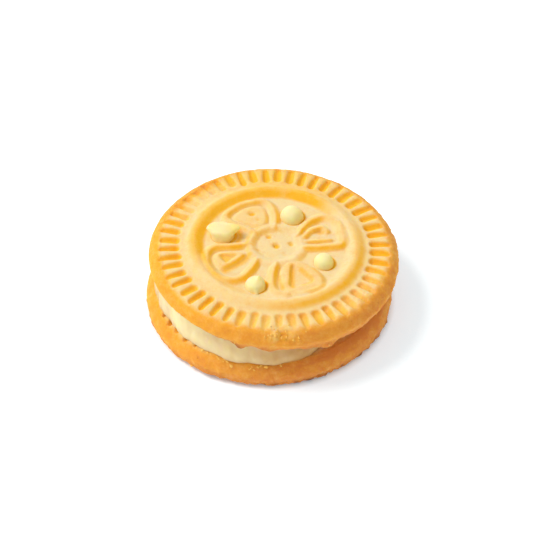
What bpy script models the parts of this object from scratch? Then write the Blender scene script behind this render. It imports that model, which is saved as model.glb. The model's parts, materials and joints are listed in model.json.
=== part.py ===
"""A cream sandwich biscuit: two moulded round biscuits with a cream layer between them.

The cream has been squeezed up through four holes in the upper biscuit and ends in four beads on its
face. Metres, +Z up; the origin is the centre of the lower biscuit's flat underside, on the table.
The upper biscuit lies a little to the right (+X) of the lower one and slopes down to that side.
"""

import math

import bmesh
import bpy
from mathutils import Matrix, Vector, noise

MM = 0.001

# Both biscuits.
BISCUIT_RADIUS = 24.9 * MM
LOWER_RADIUS = 24.65 * MM
BISCUIT_THICKNESS = 5.2 * MM
GIRTH_HEIGHT = 2.7 * MM
SHOULDER_RADIUS = 22.8 * MM
SHOULDER_DROP = 0.15 * MM
BASE_RADIUS = 23.1 * MM
LOWER_FOOT = 0.6 * MM
UNDERSIDE_RADIUS = 19.0 * MM
GAP = 0.3 * MM

# The ring of moulded grooves near the rim.
GROOVE_COUNT = 52
COLUMNS_PER_GROOVE = 4
GROOVE_START = math.radians(3.1)
GROOVE_DRIFT = math.radians(1.4)
GROOVE_DEPTH = 0.85 * MM
GROOVE_INNER = 18.6 * MM
GROOVE_OUTER = 22.7 * MM

# The moulding is washed out at the upper left, where the rim is worn down too.
WORN_ANGLE = 137.0
WORN_SPREAD = 26.0
WORN_RIM = 0.4 * MM

# The raised ring round the flower.
RING_INNER = 13.9 * MM
RING_CREST = 16.2 * MM
RING_OUTER = 17.7 * MM
RING_HEIGHT = 0.9 * MM

# The upper biscuit's place on the lower one.
UPPER_SHIFT = 1.0 * MM
UPPER_BASE = 9.4 * MM
UPPER_TILT = math.radians(2.75)
# The upper biscuit's rim curls up off the cream at the front left.
RIM_LIFT = 1.4 * MM
RIM_LIFT_ANGLE = 222.0
RIM_LIFT_SPREAD = 75.0

# The moulded flower: four fan-shaped petals, each a ridge with a smaller ridge inside it.
FLOWER_CENTRE = Vector((0.45 * MM, 0.3 * MM))
HUB_RADIUS = 5.2 * MM
RIDGE_RADIUS = 1.0 * MM
RIDGE_RISE = 0.7 * MM
INNER_RIDGE_RADIUS = 0.8 * MM
INNER_RIDGE_RISE = 0.55 * MM
PETAL_INNER = 6.0 * MM
# Each petal: axis and half width in degrees, reach in mm, then the same three of the ridge inside it.
PETALS = (
    (24.3, 24.5, 13.6, 21.5, 14.0, 11.6),
    (119.0, 22.5, 13.6, 121.0, 13.0, 11.5),
    (208.0, 24.0, 14.4, 204.5, 13.0, 12.4),
    (290.0, 22.0, 14.2, 292.0, 12.0, 12.0),
)
INNER_RIDGE_START = 7.2 * MM
DOCKER_HOLES = ((0.0, 0.0, 0.65), (3.2, 118.8, 0.5), (3.0, 17.0, 0.5))
DOCKER_DEPTH = 0.8 * MM

# The cream.
CREAM_RADIUS = 22.5 * MM
CREAM_RECESS = 2.4 * MM
CREAM_RECESS_ANGLE = 10.0
CREAM_RECESS_SPREAD = 100.0
CREAM_LIP = 0.7 * MM
CREAM_LIP_ANGLE = 262.0
CREAM_LIP_SPREAD = 42.0
PEG_RADIUS = 1.3 * MM
PEG_ROOT = 1.0 * MM
# Each bead: x and y on the upper face, radius, height and how far its top is drawn to a point, in mm.
BEADS = (
    (3.75, 7.65, 2.40, 3.00, 0.0),
    (-10.20, 2.40, 2.85, 2.60, 0.7),
    (-3.70, -11.40, 2.00, 1.90, 0.7),
    (9.80, -4.90, 2.20, 1.90, 0.0),
)
BEAD_STEPS = 14
CREAM_STEPS = 48

BISCUIT_COLOUR = (0.86, 0.50, 0.17)
LOWER_COLOUR = (0.76, 0.38, 0.10)
CREAM_COLOUR = (0.86, 0.80, 0.50)


def clear_scene():
    for obj in list(bpy.data.objects):
        bpy.data.objects.remove(obj)


def collection(name):
    made = bpy.data.collections.new(name)
    bpy.context.scene.collection.children.link(made)
    return made


def material(name, colour, roughness):
    made = bpy.data.materials.new(name)
    made.use_nodes = True
    shader = made.node_tree.nodes["Principled BSDF"]
    shader.inputs["Base Color"].default_value = (*colour, 1.0)
    shader.inputs["Roughness"].default_value = roughness
    shader.inputs["Metallic"].default_value = 0.0
    return made


def evaluated_mesh(obj):
    """The object's mesh with its modifiers applied and its caps welded."""
    graph = bpy.context.evaluated_depsgraph_get()
    mesh = bpy.data.meshes.new_from_object(obj.evaluated_get(graph))
    shape = bmesh.new()
    shape.from_mesh(mesh)
    bmesh.ops.remove_doubles(shape, verts=shape.verts, dist=0.001 * MM)
    shape.to_mesh(mesh)
    shape.free()
    return mesh


def turned(name, profile, steps, place, start=0.0):
    """Turns a profile of (radius, height) points about Z and closes its two ends with flat faces."""
    mesh = bpy.data.meshes.new(name)
    points = [(r * math.cos(start), r * math.sin(start), z) for r, z in profile]
    mesh.from_pydata(points, [(i, i + 1) for i in range(len(points) - 1)], [])
    guide = bpy.data.objects.new(name + "_profile", mesh)
    bpy.context.scene.collection.objects.link(guide)
    screw = guide.modifiers.new("turn", "SCREW")
    screw.steps = steps
    screw.render_steps = steps
    screw.use_merge_vertices = True
    screw.merge_threshold = 0.001 * MM
    solid = evaluated_mesh(guide)
    bpy.data.objects.remove(guide)
    shape = bmesh.new()
    shape.from_mesh(solid)
    bmesh.ops.holes_fill(shape, edges=shape.edges)
    bmesh.ops.recalc_face_normals(shape, faces=shape.faces)
    shape.to_mesh(solid)
    shape.free()
    obj = bpy.data.objects.new(name, solid)
    place.objects.link(obj)
    return obj


def ripple(angle, waves, seed):
    """A smooth random value from about -1 to 1 that closes on itself round the biscuit."""
    return noise.noise(Vector((waves * math.cos(angle), waves * math.sin(angle), seed)))


def bump(angle, middle, half_width):
    """1 at the middle angle, falling smoothly to 0 at half_width either side. All in degrees."""
    away = (math.degrees(angle) - middle + 180.0) % 360.0 - 180.0
    if abs(away) >= half_width:
        return 0.0
    return 0.5 + 0.5 * math.cos(math.pi * away / half_width)


def groove_strength(angle):
    """The grooves are washed out at the upper left and a little softer at the lower right."""
    return 1.0 - 0.65 * bump(angle, WORN_ANGLE, WORN_SPREAD) - 0.25 * bump(angle, 320.0, 32.0)


def groove_depth(angle, radius):
    """How deep the moulded grooves are at a point, zero on the ridges between them."""
    along = (radius - GROOVE_INNER) / (GROOVE_OUTER - GROOVE_INNER)
    if not 0.0 < along < 1.0:
        return 0.0
    phase = (angle - GROOVE_START) / (math.tau / GROOVE_COUNT)
    across = abs(phase - round(phase))
    if across > 0.25:
        return 0.0
    return GROOVE_DEPTH * math.sin(math.pi * along) ** 0.5


def rim_lift(angle, radius):
    """How far the upper biscuit's underside rises towards its rim."""
    outward = min(max((radius - UNDERSIDE_RADIUS) / (BASE_RADIUS - UNDERSIDE_RADIUS), 0.0), 1.0)
    return RIM_LIFT * bump(angle, RIM_LIFT_ANGLE, RIM_LIFT_SPREAD) * outward * outward


def biscuit_profile(radius, is_upper):
    """Half of the biscuit's section, from the edge of its flat middle out, down and under."""
    scale = radius / BISCUIT_RADIUS
    top = BISCUIT_THICKNESS
    base = BASE_RADIUS if is_upper else BASE_RADIUS + LOWER_FOOT
    face = []
    if is_upper:
        face += [
            (RING_INNER, top),
            (0.55 * RING_INNER + 0.45 * RING_CREST, top + 0.35 * RING_HEIGHT),
            (RING_CREST, top + RING_HEIGHT),
            (RING_OUTER, top),
        ]
    length = GROOVE_OUTER - GROOVE_INNER
    face += [(GROOVE_INNER + part * length, top) for part in (0.0, 0.2, 0.5, 0.8)]
    side = [
        (SHOULDER_RADIUS, top - SHOULDER_DROP),
        (BISCUIT_RADIUS - 0.9 * MM, top - 1.05 * MM),
        (BISCUIT_RADIUS, GIRTH_HEIGHT),
        (0.5 * (BISCUIT_RADIUS + base + 0.9 * MM), 1.2 * MM),
        (base + 0.9 * MM, 0.25 * MM),
        (base, 0.0),
    ]
    if is_upper:
        side.append((UNDERSIDE_RADIUS, 0.0))
    return [(r * scale, z) for r, z in face + side]


def weather(obj, seed, edge_wobble, chips, lifted):
    """Presses the grooves in, and gives the rim the uneven outline of a baked biscuit.

    chips are (middle angle, half width, fall of the shoulder, push of the lower edge) in degrees and mm.
    """
    for vertex in obj.data.vertices:
        x, y, z = vertex.co
        radius = math.hypot(x, y)
        angle = math.atan2(y, x)
        on_face = z > GIRTH_HEIGHT
        depth = groove_depth(angle, radius) * groove_strength(angle) if on_face else 0.0
        on_side = min(max((radius - SHOULDER_RADIUS) / (2.0 * MM), 0.0), 1.0)
        low = max(0.0, 1.0 - z / GIRTH_HEIGHT) if radius > 0.9 * BASE_RADIUS else 0.0
        grow = 0.2 * MM * ripple(angle, 2.0, seed) * max(on_side, low)
        grow += edge_wobble * ripple(angle, 9.0, seed + 7.0) * low
        grow -= WORN_RIM * bump(angle, WORN_ANGLE, 1.6 * WORN_SPREAD) * on_side
        fall = depth
        for middle, half_width, shoulder_fall, edge_push in chips:
            share = bump(angle, middle, half_width)
            if on_face and radius > 0.9 * GROOVE_OUTER:
                fall += share * shoulder_fall * MM
            grow += share * edge_push * MM * low
        if lifted and not on_face:
            fall -= rim_lift(angle, radius) * (1.0 - z / GIRTH_HEIGHT)
        turn = angle + GROOVE_DRIFT * math.sin(angle)
        vertex.co.x = (radius + grow) * math.cos(turn)
        vertex.co.y = (radius + grow) * math.sin(turn)
        vertex.co.z = z - fall


def biscuit(name, radius, is_upper, place, finish, seed, edge_wobble, chips):
    steps = GROOVE_COUNT * COLUMNS_PER_GROOVE
    start = GROOVE_START + math.pi / steps
    obj = turned(name, biscuit_profile(radius, is_upper), steps, place, start)
    weather(obj, seed, edge_wobble, chips, is_upper)
    obj.data.materials.append(finish)
    return obj


def polar(radius, degrees):
    angle = math.radians(degrees)
    return FLOWER_CENTRE + Vector((radius * math.cos(angle), radius * math.sin(angle)))


def fan_outline(axis, half, inner, outer):
    """Points round a fan: straight sides on two rays, a rounded outer end and a narrow inner one."""
    middle = 0.5 * (inner + outer)
    shoulder = inner + 0.84 * (outer - inner)
    points = [polar(inner, axis - 0.7 * half), polar(middle, axis - half)]
    points.append(polar(shoulder, axis - half))
    points += [polar(outer, axis + turn * half) for turn in (-0.6, 0.0, 0.6)]
    points.append(polar(shoulder, axis + half))
    points += [polar(middle, axis + half), polar(inner, axis + 0.7 * half)]
    return points


def ridge(name, points, radius, rise, place):
    """A closed rounded ridge through the points, a tube sunk into the face up to its rise."""
    data = bpy.data.curves.new(name, "CURVE")
    data.dimensions = "3D"
    data.resolution_u = 2
    data.bevel_depth = radius
    data.bevel_resolution = 2
    spline = data.splines.new("BEZIER")
    spline.bezier_points.add(len(points) - 1)
    spline.use_cyclic_u = True
    height = BISCUIT_THICKNESS + rise - radius
    for knot, point in zip(spline.bezier_points, points):
        knot.co = (point.x, point.y, height)
        knot.handle_left_type = "AUTO"
        knot.handle_right_type = "AUTO"
    guide = bpy.data.objects.new(name + "_curve", data)
    bpy.context.scene.collection.objects.link(guide)
    tube = bpy.data.objects.new(name, evaluated_mesh(guide))
    bpy.data.objects.remove(guide)
    place.objects.link(tube)
    return tube


def flower_ridges(place):
    hub = [polar(HUB_RADIUS, 45.0 * i) for i in range(8)]
    ridge("hub_ridge", hub, RIDGE_RADIUS, RIDGE_RISE, place)
    for index, petal in enumerate(PETALS):
        axis, half, reach, inner_axis, inner_half, inner_reach = petal
        outline = fan_outline(axis, half, PETAL_INNER, reach * MM)
        ridge(f"petal_ridge_{index}", outline, RIDGE_RADIUS, RIDGE_RISE, place)
        outline = fan_outline(inner_axis, inner_half, INNER_RIDGE_START, inner_reach * MM)
        ridge(f"petal_core_{index}", outline, INNER_RIDGE_RADIUS, INNER_RIDGE_RISE, place)


def cylinder(name, x, y, radius, low, high, sides, place):
    mesh = bpy.data.meshes.new(name)
    shape = bmesh.new()
    bmesh.ops.create_cone(
        shape,
        cap_ends=True,
        segments=sides,
        radius1=radius,
        radius2=radius,
        depth=high - low,
        matrix=Matrix.Translation((x, y, 0.5 * (low + high))),
    )
    shape.to_mesh(mesh)
    shape.free()
    obj = bpy.data.objects.new(name, mesh)
    place.objects.link(obj)
    return obj


def upper_face_holes(place):
    """The four holes that the cream comes up through, and the small blind docker holes."""
    for index, (x, y, *_) in enumerate(BEADS):
        low, high = -2.0 * MM, BISCUIT_THICKNESS + 2.0 * MM
        radius = PEG_RADIUS + GAP
        cylinder(f"cream_hole_{index}", x * MM, y * MM, radius, low, high, 16, place)
    for index, (away, degrees, radius) in enumerate(DOCKER_HOLES):
        spot = polar(away * MM, degrees)
        low, high = BISCUIT_THICKNESS - DOCKER_DEPTH, BISCUIT_THICKNESS + 2.0 * MM
        cylinder(f"docker_{index}", spot.x, spot.y, radius * MM, low, high, 10, place)


def combine(obj, others, operation):
    """Joins or cuts with every object of a collection, applies it and removes those objects."""
    boolean = obj.modifiers.new(operation.lower(), "BOOLEAN")
    boolean.operation = operation
    boolean.operand_type = "COLLECTION"
    boolean.collection = others
    boolean.solver = "EXACT"
    mesh = evaluated_mesh(obj)
    obj.modifiers.remove(boolean)
    obj.data = mesh
    for used in list(others.objects):
        bpy.data.objects.remove(used)
    bpy.data.collections.remove(others)


def shade_round(obj):
    obj.data.shade_smooth()
    obj.data.set_sharp_from_angle(angle=math.radians(50.0))


def upper_frame():
    """The upper biscuit's own frame, whose origin is the centre of its underside."""
    place = Matrix.Translation((UPPER_SHIFT, 0.0, UPPER_BASE))
    return place @ Matrix.Rotation(UPPER_TILT, 4, "Y")


def cream_outline(angle):
    """The cream's radius: full at the left, drawn in at the right where the biscuits nearly meet."""
    recess = CREAM_RECESS * bump(angle, CREAM_RECESS_ANGLE, CREAM_RECESS_SPREAD)
    recess -= CREAM_LIP * bump(angle, CREAM_LIP_ANGLE, CREAM_LIP_SPREAD)
    return 1.0 - (recess - 0.25 * MM * ripple(angle, 3.0, 5.0)) / CREAM_RADIUS


def cream_layer(place, finish):
    """A wedge of cream from just above the lower biscuit to just under the tilted upper one."""
    low = BISCUIT_THICKNESS + GAP
    tall = UPPER_BASE - low - GAP
    profile = [
        (CREAM_RADIUS - 1.4 * MM, low + tall),
        (CREAM_RADIUS - 0.4 * MM, low + 0.93 * tall),
        (CREAM_RADIUS, low + 0.6 * tall),
        (CREAM_RADIUS + 0.2 * MM, low + 0.2 * tall),
        (CREAM_RADIUS - 0.2 * MM, low + 0.03 * tall),
        (CREAM_RADIUS - 0.8 * MM, low),
    ]
    obj = turned("cream_filling", profile, CREAM_STEPS, place)
    slope = math.tan(UPPER_TILT)
    for vertex in obj.data.vertices:
        x, y, z = vertex.co
        part = (z - low) / tall
        angle = math.atan2(y, x)
        reach = cream_outline(angle)
        vertex.co.x = x * reach
        vertex.co.y = y * reach
        rise = rim_lift(angle, math.hypot(x, y)) - slope * (x * reach - UPPER_SHIFT)
        vertex.co.z = z + part * rise
    obj.data.materials.append(finish)
    return obj


def bead(name, radius, height, point, place):
    """One bead of cream on its peg, in the upper biscuit's frame with the peg's foot in the layer."""
    top = BISCUIT_THICKNESS
    profile = [
        (0.0, top + height + point),
        (0.22 * radius, top + 0.95 * height + 0.4 * point),
        (0.62 * radius, top + 0.86 * height),
        (0.9 * radius, top + 0.66 * height),
        (radius, top + 1.1 * MM),
        (0.9 * radius, top + 0.8 * MM),
        (0.5 * (radius + PEG_RADIUS), top + 0.45 * MM),
        (PEG_RADIUS, top + 0.3 * MM),
        (PEG_RADIUS, -PEG_ROOT),
    ]
    return turned(name, profile, BEAD_STEPS, place)


def cream_filling(place, finish):
    layer = cream_layer(place, finish)
    beads = collection("beads")
    for index, (x, y, radius, height, point) in enumerate(BEADS):
        obj = bead(f"bead_{index}", radius * MM, height * MM, point * MM, beads)
        obj.data.transform(upper_frame() @ Matrix.Translation((x * MM, y * MM, 0.0)))
    combine(layer, beads, "UNION")
    return layer


def build():
    clear_scene()
    parts = collection("cream_sandwich_biscuit")
    baked = material("baked_biscuit", BISCUIT_COLOUR, 0.75)
    browned = material("browned_biscuit", LOWER_COLOUR, 0.8)
    cream = material("cream", CREAM_COLOUR, 0.45)

    lower = biscuit(
        "bottom_biscuit", LOWER_RADIUS, False, parts, browned, 3.0, 0.5 * MM, ()
    )

    chips = ((275.0, 9.0, 0.35, 0.0), (293.0, 8.0, 0.0, 0.5))
    upper = biscuit(
        "top_biscuit", BISCUIT_RADIUS, True, parts, baked, 11.0, 0.4 * MM, chips
    )
    ridges = collection("ridges")
    flower_ridges(ridges)
    combine(upper, ridges, "UNION")
    holes = collection("holes")
    upper_face_holes(holes)
    combine(upper, holes, "DIFFERENCE")
    upper.matrix_world = upper_frame()

    filling = cream_filling(parts, cream)
    for obj in (lower, upper, filling):
        shade_round(obj)


build()
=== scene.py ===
"""A cream sandwich biscuit: two moulded biscuits, the cream between them and its four beads.

Lengths inside the shape functions are millimetres, and meshes are made in metres. The upper
biscuit is shaped lying flat in its own frame and then set down, shifted and tilted, on the cream.
"""

import json
import math

import bpy
import numpy as np
from mathutils import Matrix, Vector, noise

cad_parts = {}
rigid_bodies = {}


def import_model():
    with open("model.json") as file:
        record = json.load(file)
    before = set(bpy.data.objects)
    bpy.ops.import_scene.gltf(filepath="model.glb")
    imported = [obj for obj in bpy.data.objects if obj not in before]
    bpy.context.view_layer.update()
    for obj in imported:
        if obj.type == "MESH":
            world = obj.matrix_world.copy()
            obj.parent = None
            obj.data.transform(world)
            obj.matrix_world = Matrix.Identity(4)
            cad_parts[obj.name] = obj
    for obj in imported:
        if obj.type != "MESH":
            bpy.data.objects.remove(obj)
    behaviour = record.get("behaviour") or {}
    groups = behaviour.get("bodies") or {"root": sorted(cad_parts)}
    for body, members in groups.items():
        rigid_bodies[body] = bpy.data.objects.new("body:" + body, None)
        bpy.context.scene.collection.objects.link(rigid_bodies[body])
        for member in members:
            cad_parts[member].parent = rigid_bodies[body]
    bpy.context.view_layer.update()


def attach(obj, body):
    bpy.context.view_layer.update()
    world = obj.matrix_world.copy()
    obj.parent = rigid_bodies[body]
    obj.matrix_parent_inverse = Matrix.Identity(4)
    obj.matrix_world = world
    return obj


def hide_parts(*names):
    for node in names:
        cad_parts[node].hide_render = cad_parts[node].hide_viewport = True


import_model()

bl_info = {
    "name": "Cream Sandwich Biscuit",
    "version": (1, 0, 0),
    "blender": (4, 5, 0),
    "location": "View3D > Sidebar > Biscuit",
    "description": "Shapes and finishes a moulded cream sandwich biscuit",
    "category": "Add Mesh",
}

MM = 0.001
GROOVES = 52
COLUMNS_PER_GROOVE = 10
COLUMNS = GROOVES * COLUMNS_PER_GROOVE

# The height at which a biscuit is widest; what lies below it is its foot.
BELLY = 2.7
# The side of a biscuit as (inset from its greatest radius, height), from shoulder to foot.
UPPER_SIDE = ((2.1, 5.0), (0.95, 4.2), (0.0, BELLY), (0.45, 1.2), (0.9, 0.25), (1.8, 0.0))
LOWER_SIDE = ((2.05, 5.05), (0.9, 4.15), (0.0, BELLY), (0.05, 1.2), (0.25, 0.3), (1.2, 0.0))

# The raised ring round the flower: inner foot, crest, outer foot and height.
RING = (13.8, 16.1, 18.5, 0.85)
HUB_CENTRE = (0.3, 0.1)
HUB_RADIUS = 5.2

# The crest lines of the flower's ridges on the upper face, as loose outlines.
PETAL_LEFT = (
    (-5.1, 0.2), (-6.9, -0.2), (-8.8, -0.5), (-11.6, -0.8), (-13.0, -2.0), (-13.4, -4.1),
    (-12.9, -6.4), (-11.7, -8.3), (-10.2, -9.6), (-8.4, -10.0), (-6.6, -9.3), (-5.2, -7.7),
    (-4.2, -5.9), (-3.6, -4.3),
)
PETAL_BACK = (
    (-4.0, 3.4), (-6.3, 4.9), (-8.6, 6.2), (-9.6, 7.4), (-9.1, 9.1), (-6.9, 11.1),
    (-4.8, 12.1), (-2.4, 12.6), (-0.9, 11.7), (-0.1, 9.8), (0.2, 7.6), (0.0, 5.2),
)
PETAL_RIGHT = (
    (4.6, 3.0), (5.8, 5.2), (7.4, 7.2), (9.9, 8.4), (12.5, 6.6), (13.4, 3.8), (13.7, 1.5),
    (12.9, 0.3), (10.5, -0.1), (8.0, -0.4), (5.8, -0.5),
)
PETAL_FRONT = (
    (0.2, -5.3), (-0.3, -7.2), (-0.6, -9.2), (-0.6, -11.4), (0.2, -13.2), (2.2, -13.9),
)
# Each small ridge inside a petal: its crest line, height and half width.
SMALL_RIDGES = (
    (((5.9, 2.6), (7.4, 4.5), (9.4, 5.3), (10.4, 4.4)), 0.5, 0.95),
    (((6.3, 1.3), (8.5, 1.5), (11.0, 1.8)), 0.4, 0.75),
)
# Each low table inside a petal: its outline, height and the width of its bevel.
TABLES = (
    (((-8.3, 7.4), (-6.2, 10.1), (-2.8, 11.0), (-1.6, 9.1), (-1.6, 6.3), (-3.0, 5.2), (-5.2, 5.7)),
     0.45, 1.0),
    (((-11.9, -3.4), (-10.7, -2.5), (-8.6, -2.2), (-6.4, -2.4), (-6.0, -3.2), (-7.2, -4.7),
      (-9.1, -6.3), (-10.6, -6.9), (-11.7, -5.4)), 0.55, 1.1),
    (((2.4, -5.1), (4.8, -4.7), (7.3, -6.3), (8.9, -8.2), (9.5, -10.0), (9.1, -11.8), (7.4, -13.1),
      (4.7, -13.9), (2.4, -13.7), (1.7, -12.2), (1.4, -9.9), (1.5, -7.6)), 0.62, 1.3),
)
# Each hollow with straight sides: its outline, depth, the width of its bevel and how golden its floor
# is with painted shade.
CUTS = (
    (((-10.6, -3.2), (-7.7, -3.1), (-8.5, -4.2), (-9.7, -5.3)), 0.48, 0.9, 0.75),
    (((3.6, -5.9), (5.2, -7.2), (7.3, -9.9), (5.2, -11.2), (3.0, -11.7), (3.0, -9.3), (3.1, -7.2)),
     0.58, 0.9, 0.2),
)
# Lines of painted shade, golden along shaded flanks and valleys and in the torn bead's shadow: points,
# half width and how golden.
SHADE_LINES = (
    (((-5.0, -2.7), (-6.3, -4.5), (-8.6, -6.5), (-9.8, -7.4)), 1.2, 0.8),
    (((-3.0, -4.6), (-3.9, -6.9), (-5.8, -9.6), (-7.8, -10.9)), 1.0, 0.5),
    (((0.6, -5.7), (0.6, -7.9), (0.8, -9.8), (1.4, -12.1)), 0.8, 0.65),
    (((3.4, -6.6), (3.3, -9.3), (3.4, -11.7)), 1.1, 0.85),
    (((5.0, -7.0), (7.1, -9.8), (5.4, -11.0)), 0.8, 0.6),
    (((-7.3, 1.0), (-6.8, 2.6), (-7.2, 4.0)), 1.2, 0.85),
    (((7.6, -6.5), (9.1, -8.3), (9.6, -10.2), (9.0, -12.1), (7.0, -13.4)), 0.9, 0.55),
)
# Each small hollow: x, y, half length, half width, turn in degrees and depth.
HOLLOWS = (
    (0.4, -0.1, 0.95, 1.0, 0.0, 0.42),
    (-1.1, 2.5, 0.75, 0.75, 10.0, 0.32),
    (3.3, 0.6, 0.7, 0.75, 0.0, 0.28),
    (-3.2, -1.5, 0.7, 0.5, 20.0, 0.10),
    (2.0, -2.5, 0.7, 0.5, 0.0, 0.08),
    (-4.5, 8.7, 1.0, 0.75, -8.0, 0.36),
    (-3.3, 7.1, 0.5, 0.5, 0.0, 0.14),
    (9.2, 4.1, 1.5, 0.8, 18.0, 0.22),
    (8.6, 0.9, 2.3, 0.4, 3.0, 0.12),
)
# Each bead of cream: x, y, its radii along x and y, and its height.
BEADS = {
    "egg": (3.55, 8.5, 2.3, 2.27, 2.38),
    "torn": (-10.3, 2.8, 2.45, 2.4, 3.0),
    "peaked": (-3.88, -11.3, 2.04, 2.04, 2.1),
    "dome": (9.63, -4.6, 2.0, 2.0, 2.0),
}

# Radii on a biscuit's face where the flower and the ring end, and the face's own height.
FLOWER_END = 13.9
RING_END = 18.5
FACE_HEIGHT = 5.2
# The rings of the underside, as shares of the foot's radius.
UNDERSIDE = (0.985, 0.96, 0.93, 0.88, 0.8, 0.66, 0.48, 0.28, 0.1)
# The flanks of the moulding that look this way, to the front right, away from the light, get the most
# painted shade.
SHADED_SIDE = (0.76, -0.62)

# Places round the rim, each as its middle and half width in degrees, anticlockwise from the right.
# On the upper biscuit:
WORN_RIM = (137.0, 30.0)
WORN_RING = (137.0, 40.0)
INSET_SIDE = (137.0, 42.0)
SOFT_RIM = (320.0, 34.0)
CHIPPED_RIM = (273.0, 13.0)
FLAKED_FOOT = (295.0, 7.0)
CURLED_RIM = (222.0, 75.0)
SHALLOW_GROOVES = (268.0, 42.0)
# Where the grooves' inner ends get painted shade.
GROOVE_ENDS_SHADED = (312.0, 80.0)
BROWN_SPOT = (255.0, 14.0)
SCORCHED_SPOT = (253.0, 7.0)
# On the upper biscuit's ring, grooves and hub:
# Where the ring's inner painted shade is a little lighter, and where the ring's painted shade is
# strongest at the back and the front left.
RING_LESS_SHADE = (203.0, 25.0)
RING_SHADE_BACK = (66.0, 40.0)
RING_SHADE_FRONT = (222.0, 44.0)
GROOVES_GOLDEN_BACK = (85.0, 75.0)
HUB_GOLDEN = (165.0, 85.0)
HUB_HIGH = (150.0, 120.0)
# On the lower biscuit:
EVEN_FOOT = (222.0, 58.0)
SPREAD_FOOT = (236.0, 34.0)
LIFTED_FOOT = (236.0, 38.0)
SCORCHED_FOOT = (303.0, 58.0)
# Painted shade in the crevice under the upper biscuit, on the lower biscuit's face at the front right.
CREVICE_SHADE = (328.0, 75.0)
OPEN_GROOVES = (216.0, 27.0)
CRUMBED_SHOULDER = (250.0, 34.0)
PALE_WALL = (262.0, 46.0)
# On both:
EVEN_LEFT = (185.0, 70.0)
EVEN_BACK = (140.0, 50.0)
PALE_SHOULDER = (224.0, 34.0)
# Browner at the front right, partly bake and partly painted shade on the side away from the light.
BROWN_AND_SHADE_RIGHT = (325.0, 150.0)
BROWN_BACK = (90.0, 80.0)
# The bits that hang from the upper biscuit's foot and the gap between two: place and length.
HANGING_BITS = (
    ((254.0, 5.0), 1.0),
    ((266.0, 6.0), 0.4),
    ((241.0, 7.0), 0.3),
    ((248.5, 3.0), -0.3),
)
# On the cream's edge:
CREAM_BACK_OFF_RIGHT = (10.0, 100.0)
CREAM_BACK_OFF_FRONT = (325.0, 46.0)
CREAM_LIP = (262.0, 42.0)
CREAM_BULGE = (215.0, 45.0)
# Where the cream's edge is tanned with painted shade, and where it is tan at the left.
CREAM_SHADE_RIGHT = (335.0, 112.0)
CREAM_TAN_LEFT = (188.0, 34.0)
CREAM_CRUSTED = (300.0, 60.0)
# Where the layer's painted shade is lighter.
CREAM_LESS_SHADE = (224.0, 32.0)

# The cream's edge from its foot up: distance past the cream's radius and share of its height.
CREAM_EDGE = (
    (-3.0, 0.0), (-1.0, 0.0), (0.02, 0.02), (0.2, 0.06), (0.27, 0.12), (0.29, 0.2), (0.27, 0.3),
    (0.22, 0.42), (0.12, 0.54), (0.0, 0.66), (-0.12, 0.77), (-0.25, 0.86), (-0.42, 0.93),
    (-0.7, 0.98), (-1.3, 1.0), (-3.0, 1.0),
)
CREAM_COLUMNS = 420
# Radii of the rings inside the layer.
CREAM_MIDDLE = (12.0, 16.0)

BEAD_COLUMNS = 72
BEAD_ROWS = 24
# The angles down from a bead's tip at which its first ring lies and its side meets the face.
BEAD_TIP = 0.06
BEAD_EDGE = 1.42
# A bead's root under the face: share of its radius and of its height.
BEAD_ROOT = ((1.0, -0.07), (0.98, -0.14), (0.9, -0.2))
# The height of a bead's own foot in the upper biscuit's frame.
BEAD_FOOT = 5.15

# Each dough: its grain's size and shift in metres, how much browner it is than its mesh's fields
# say, and whether its mesh has such fields.
DOUGHS = {
    "upper dough": (0.0004, 0.0, 0.0, True),
    "lower dough": (0.0004, 0.31, 0.08, True),
    "crumb dough": (0.0003, 0.73, 0.06, False),
}
# How much of the light dough and cream mirror.
SHEEN = 0.08

# The stage is in metres: half the floor's width, and how far it lies under the biscuit.
FLOOR_HALF = 3.0
FLOOR_DROP = 0.00002
# The floor's glow: its colour, its share under the biscuit, where its dimmer ring is a painted
# contact shadow, and the distances from the middle between which it rises to its full strength.
GLOW_COLOUR = (0.79, 1.055, 1.29)
CONTACT_SHADOW_GLOW = 0.15
GLOW_RISES = 0.0236
GLOW_FULL = 0.0256
SKY_COLOUR = (1.0, 0.94, 0.80)
# The key light: its colour, the angle it is seen across and the way it travels.
LIGHT_COLOUR = (1.0, 0.99, 0.97)
LIGHT_ANGLE = 0.5
LIGHT_TRAVEL = (8.5, -2.0, -11.5)
CAMERA_DISTANCE = 0.45
CAMERA_ELEVATION = math.radians(44.66)
CAMERA_ROLL = math.radians(-0.94)
# The point looked at, then its small shifts to the camera's right and down.
CAMERA_TARGET = (0.00115, 0.0, 0.007)
TARGET_RIGHT = 0.0001
TARGET_DOWN = 0.00034
# The lens: its focal length and the view's width in pixels, and the sensor's width in mm.
FOCAL_PIXELS = 2244.15
VIEW_PIXELS = 550.0
SENSOR_WIDTH = 36.0

# Kinds of sockets that the node groups have.
FLOAT = "NodeSocketFloat"
WHOLE = "NodeSocketInt"
COLOUR = "NodeSocketColor"
GEOMETRY = "NodeSocketGeometry"
MATERIAL = "NodeSocketMaterial"


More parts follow.
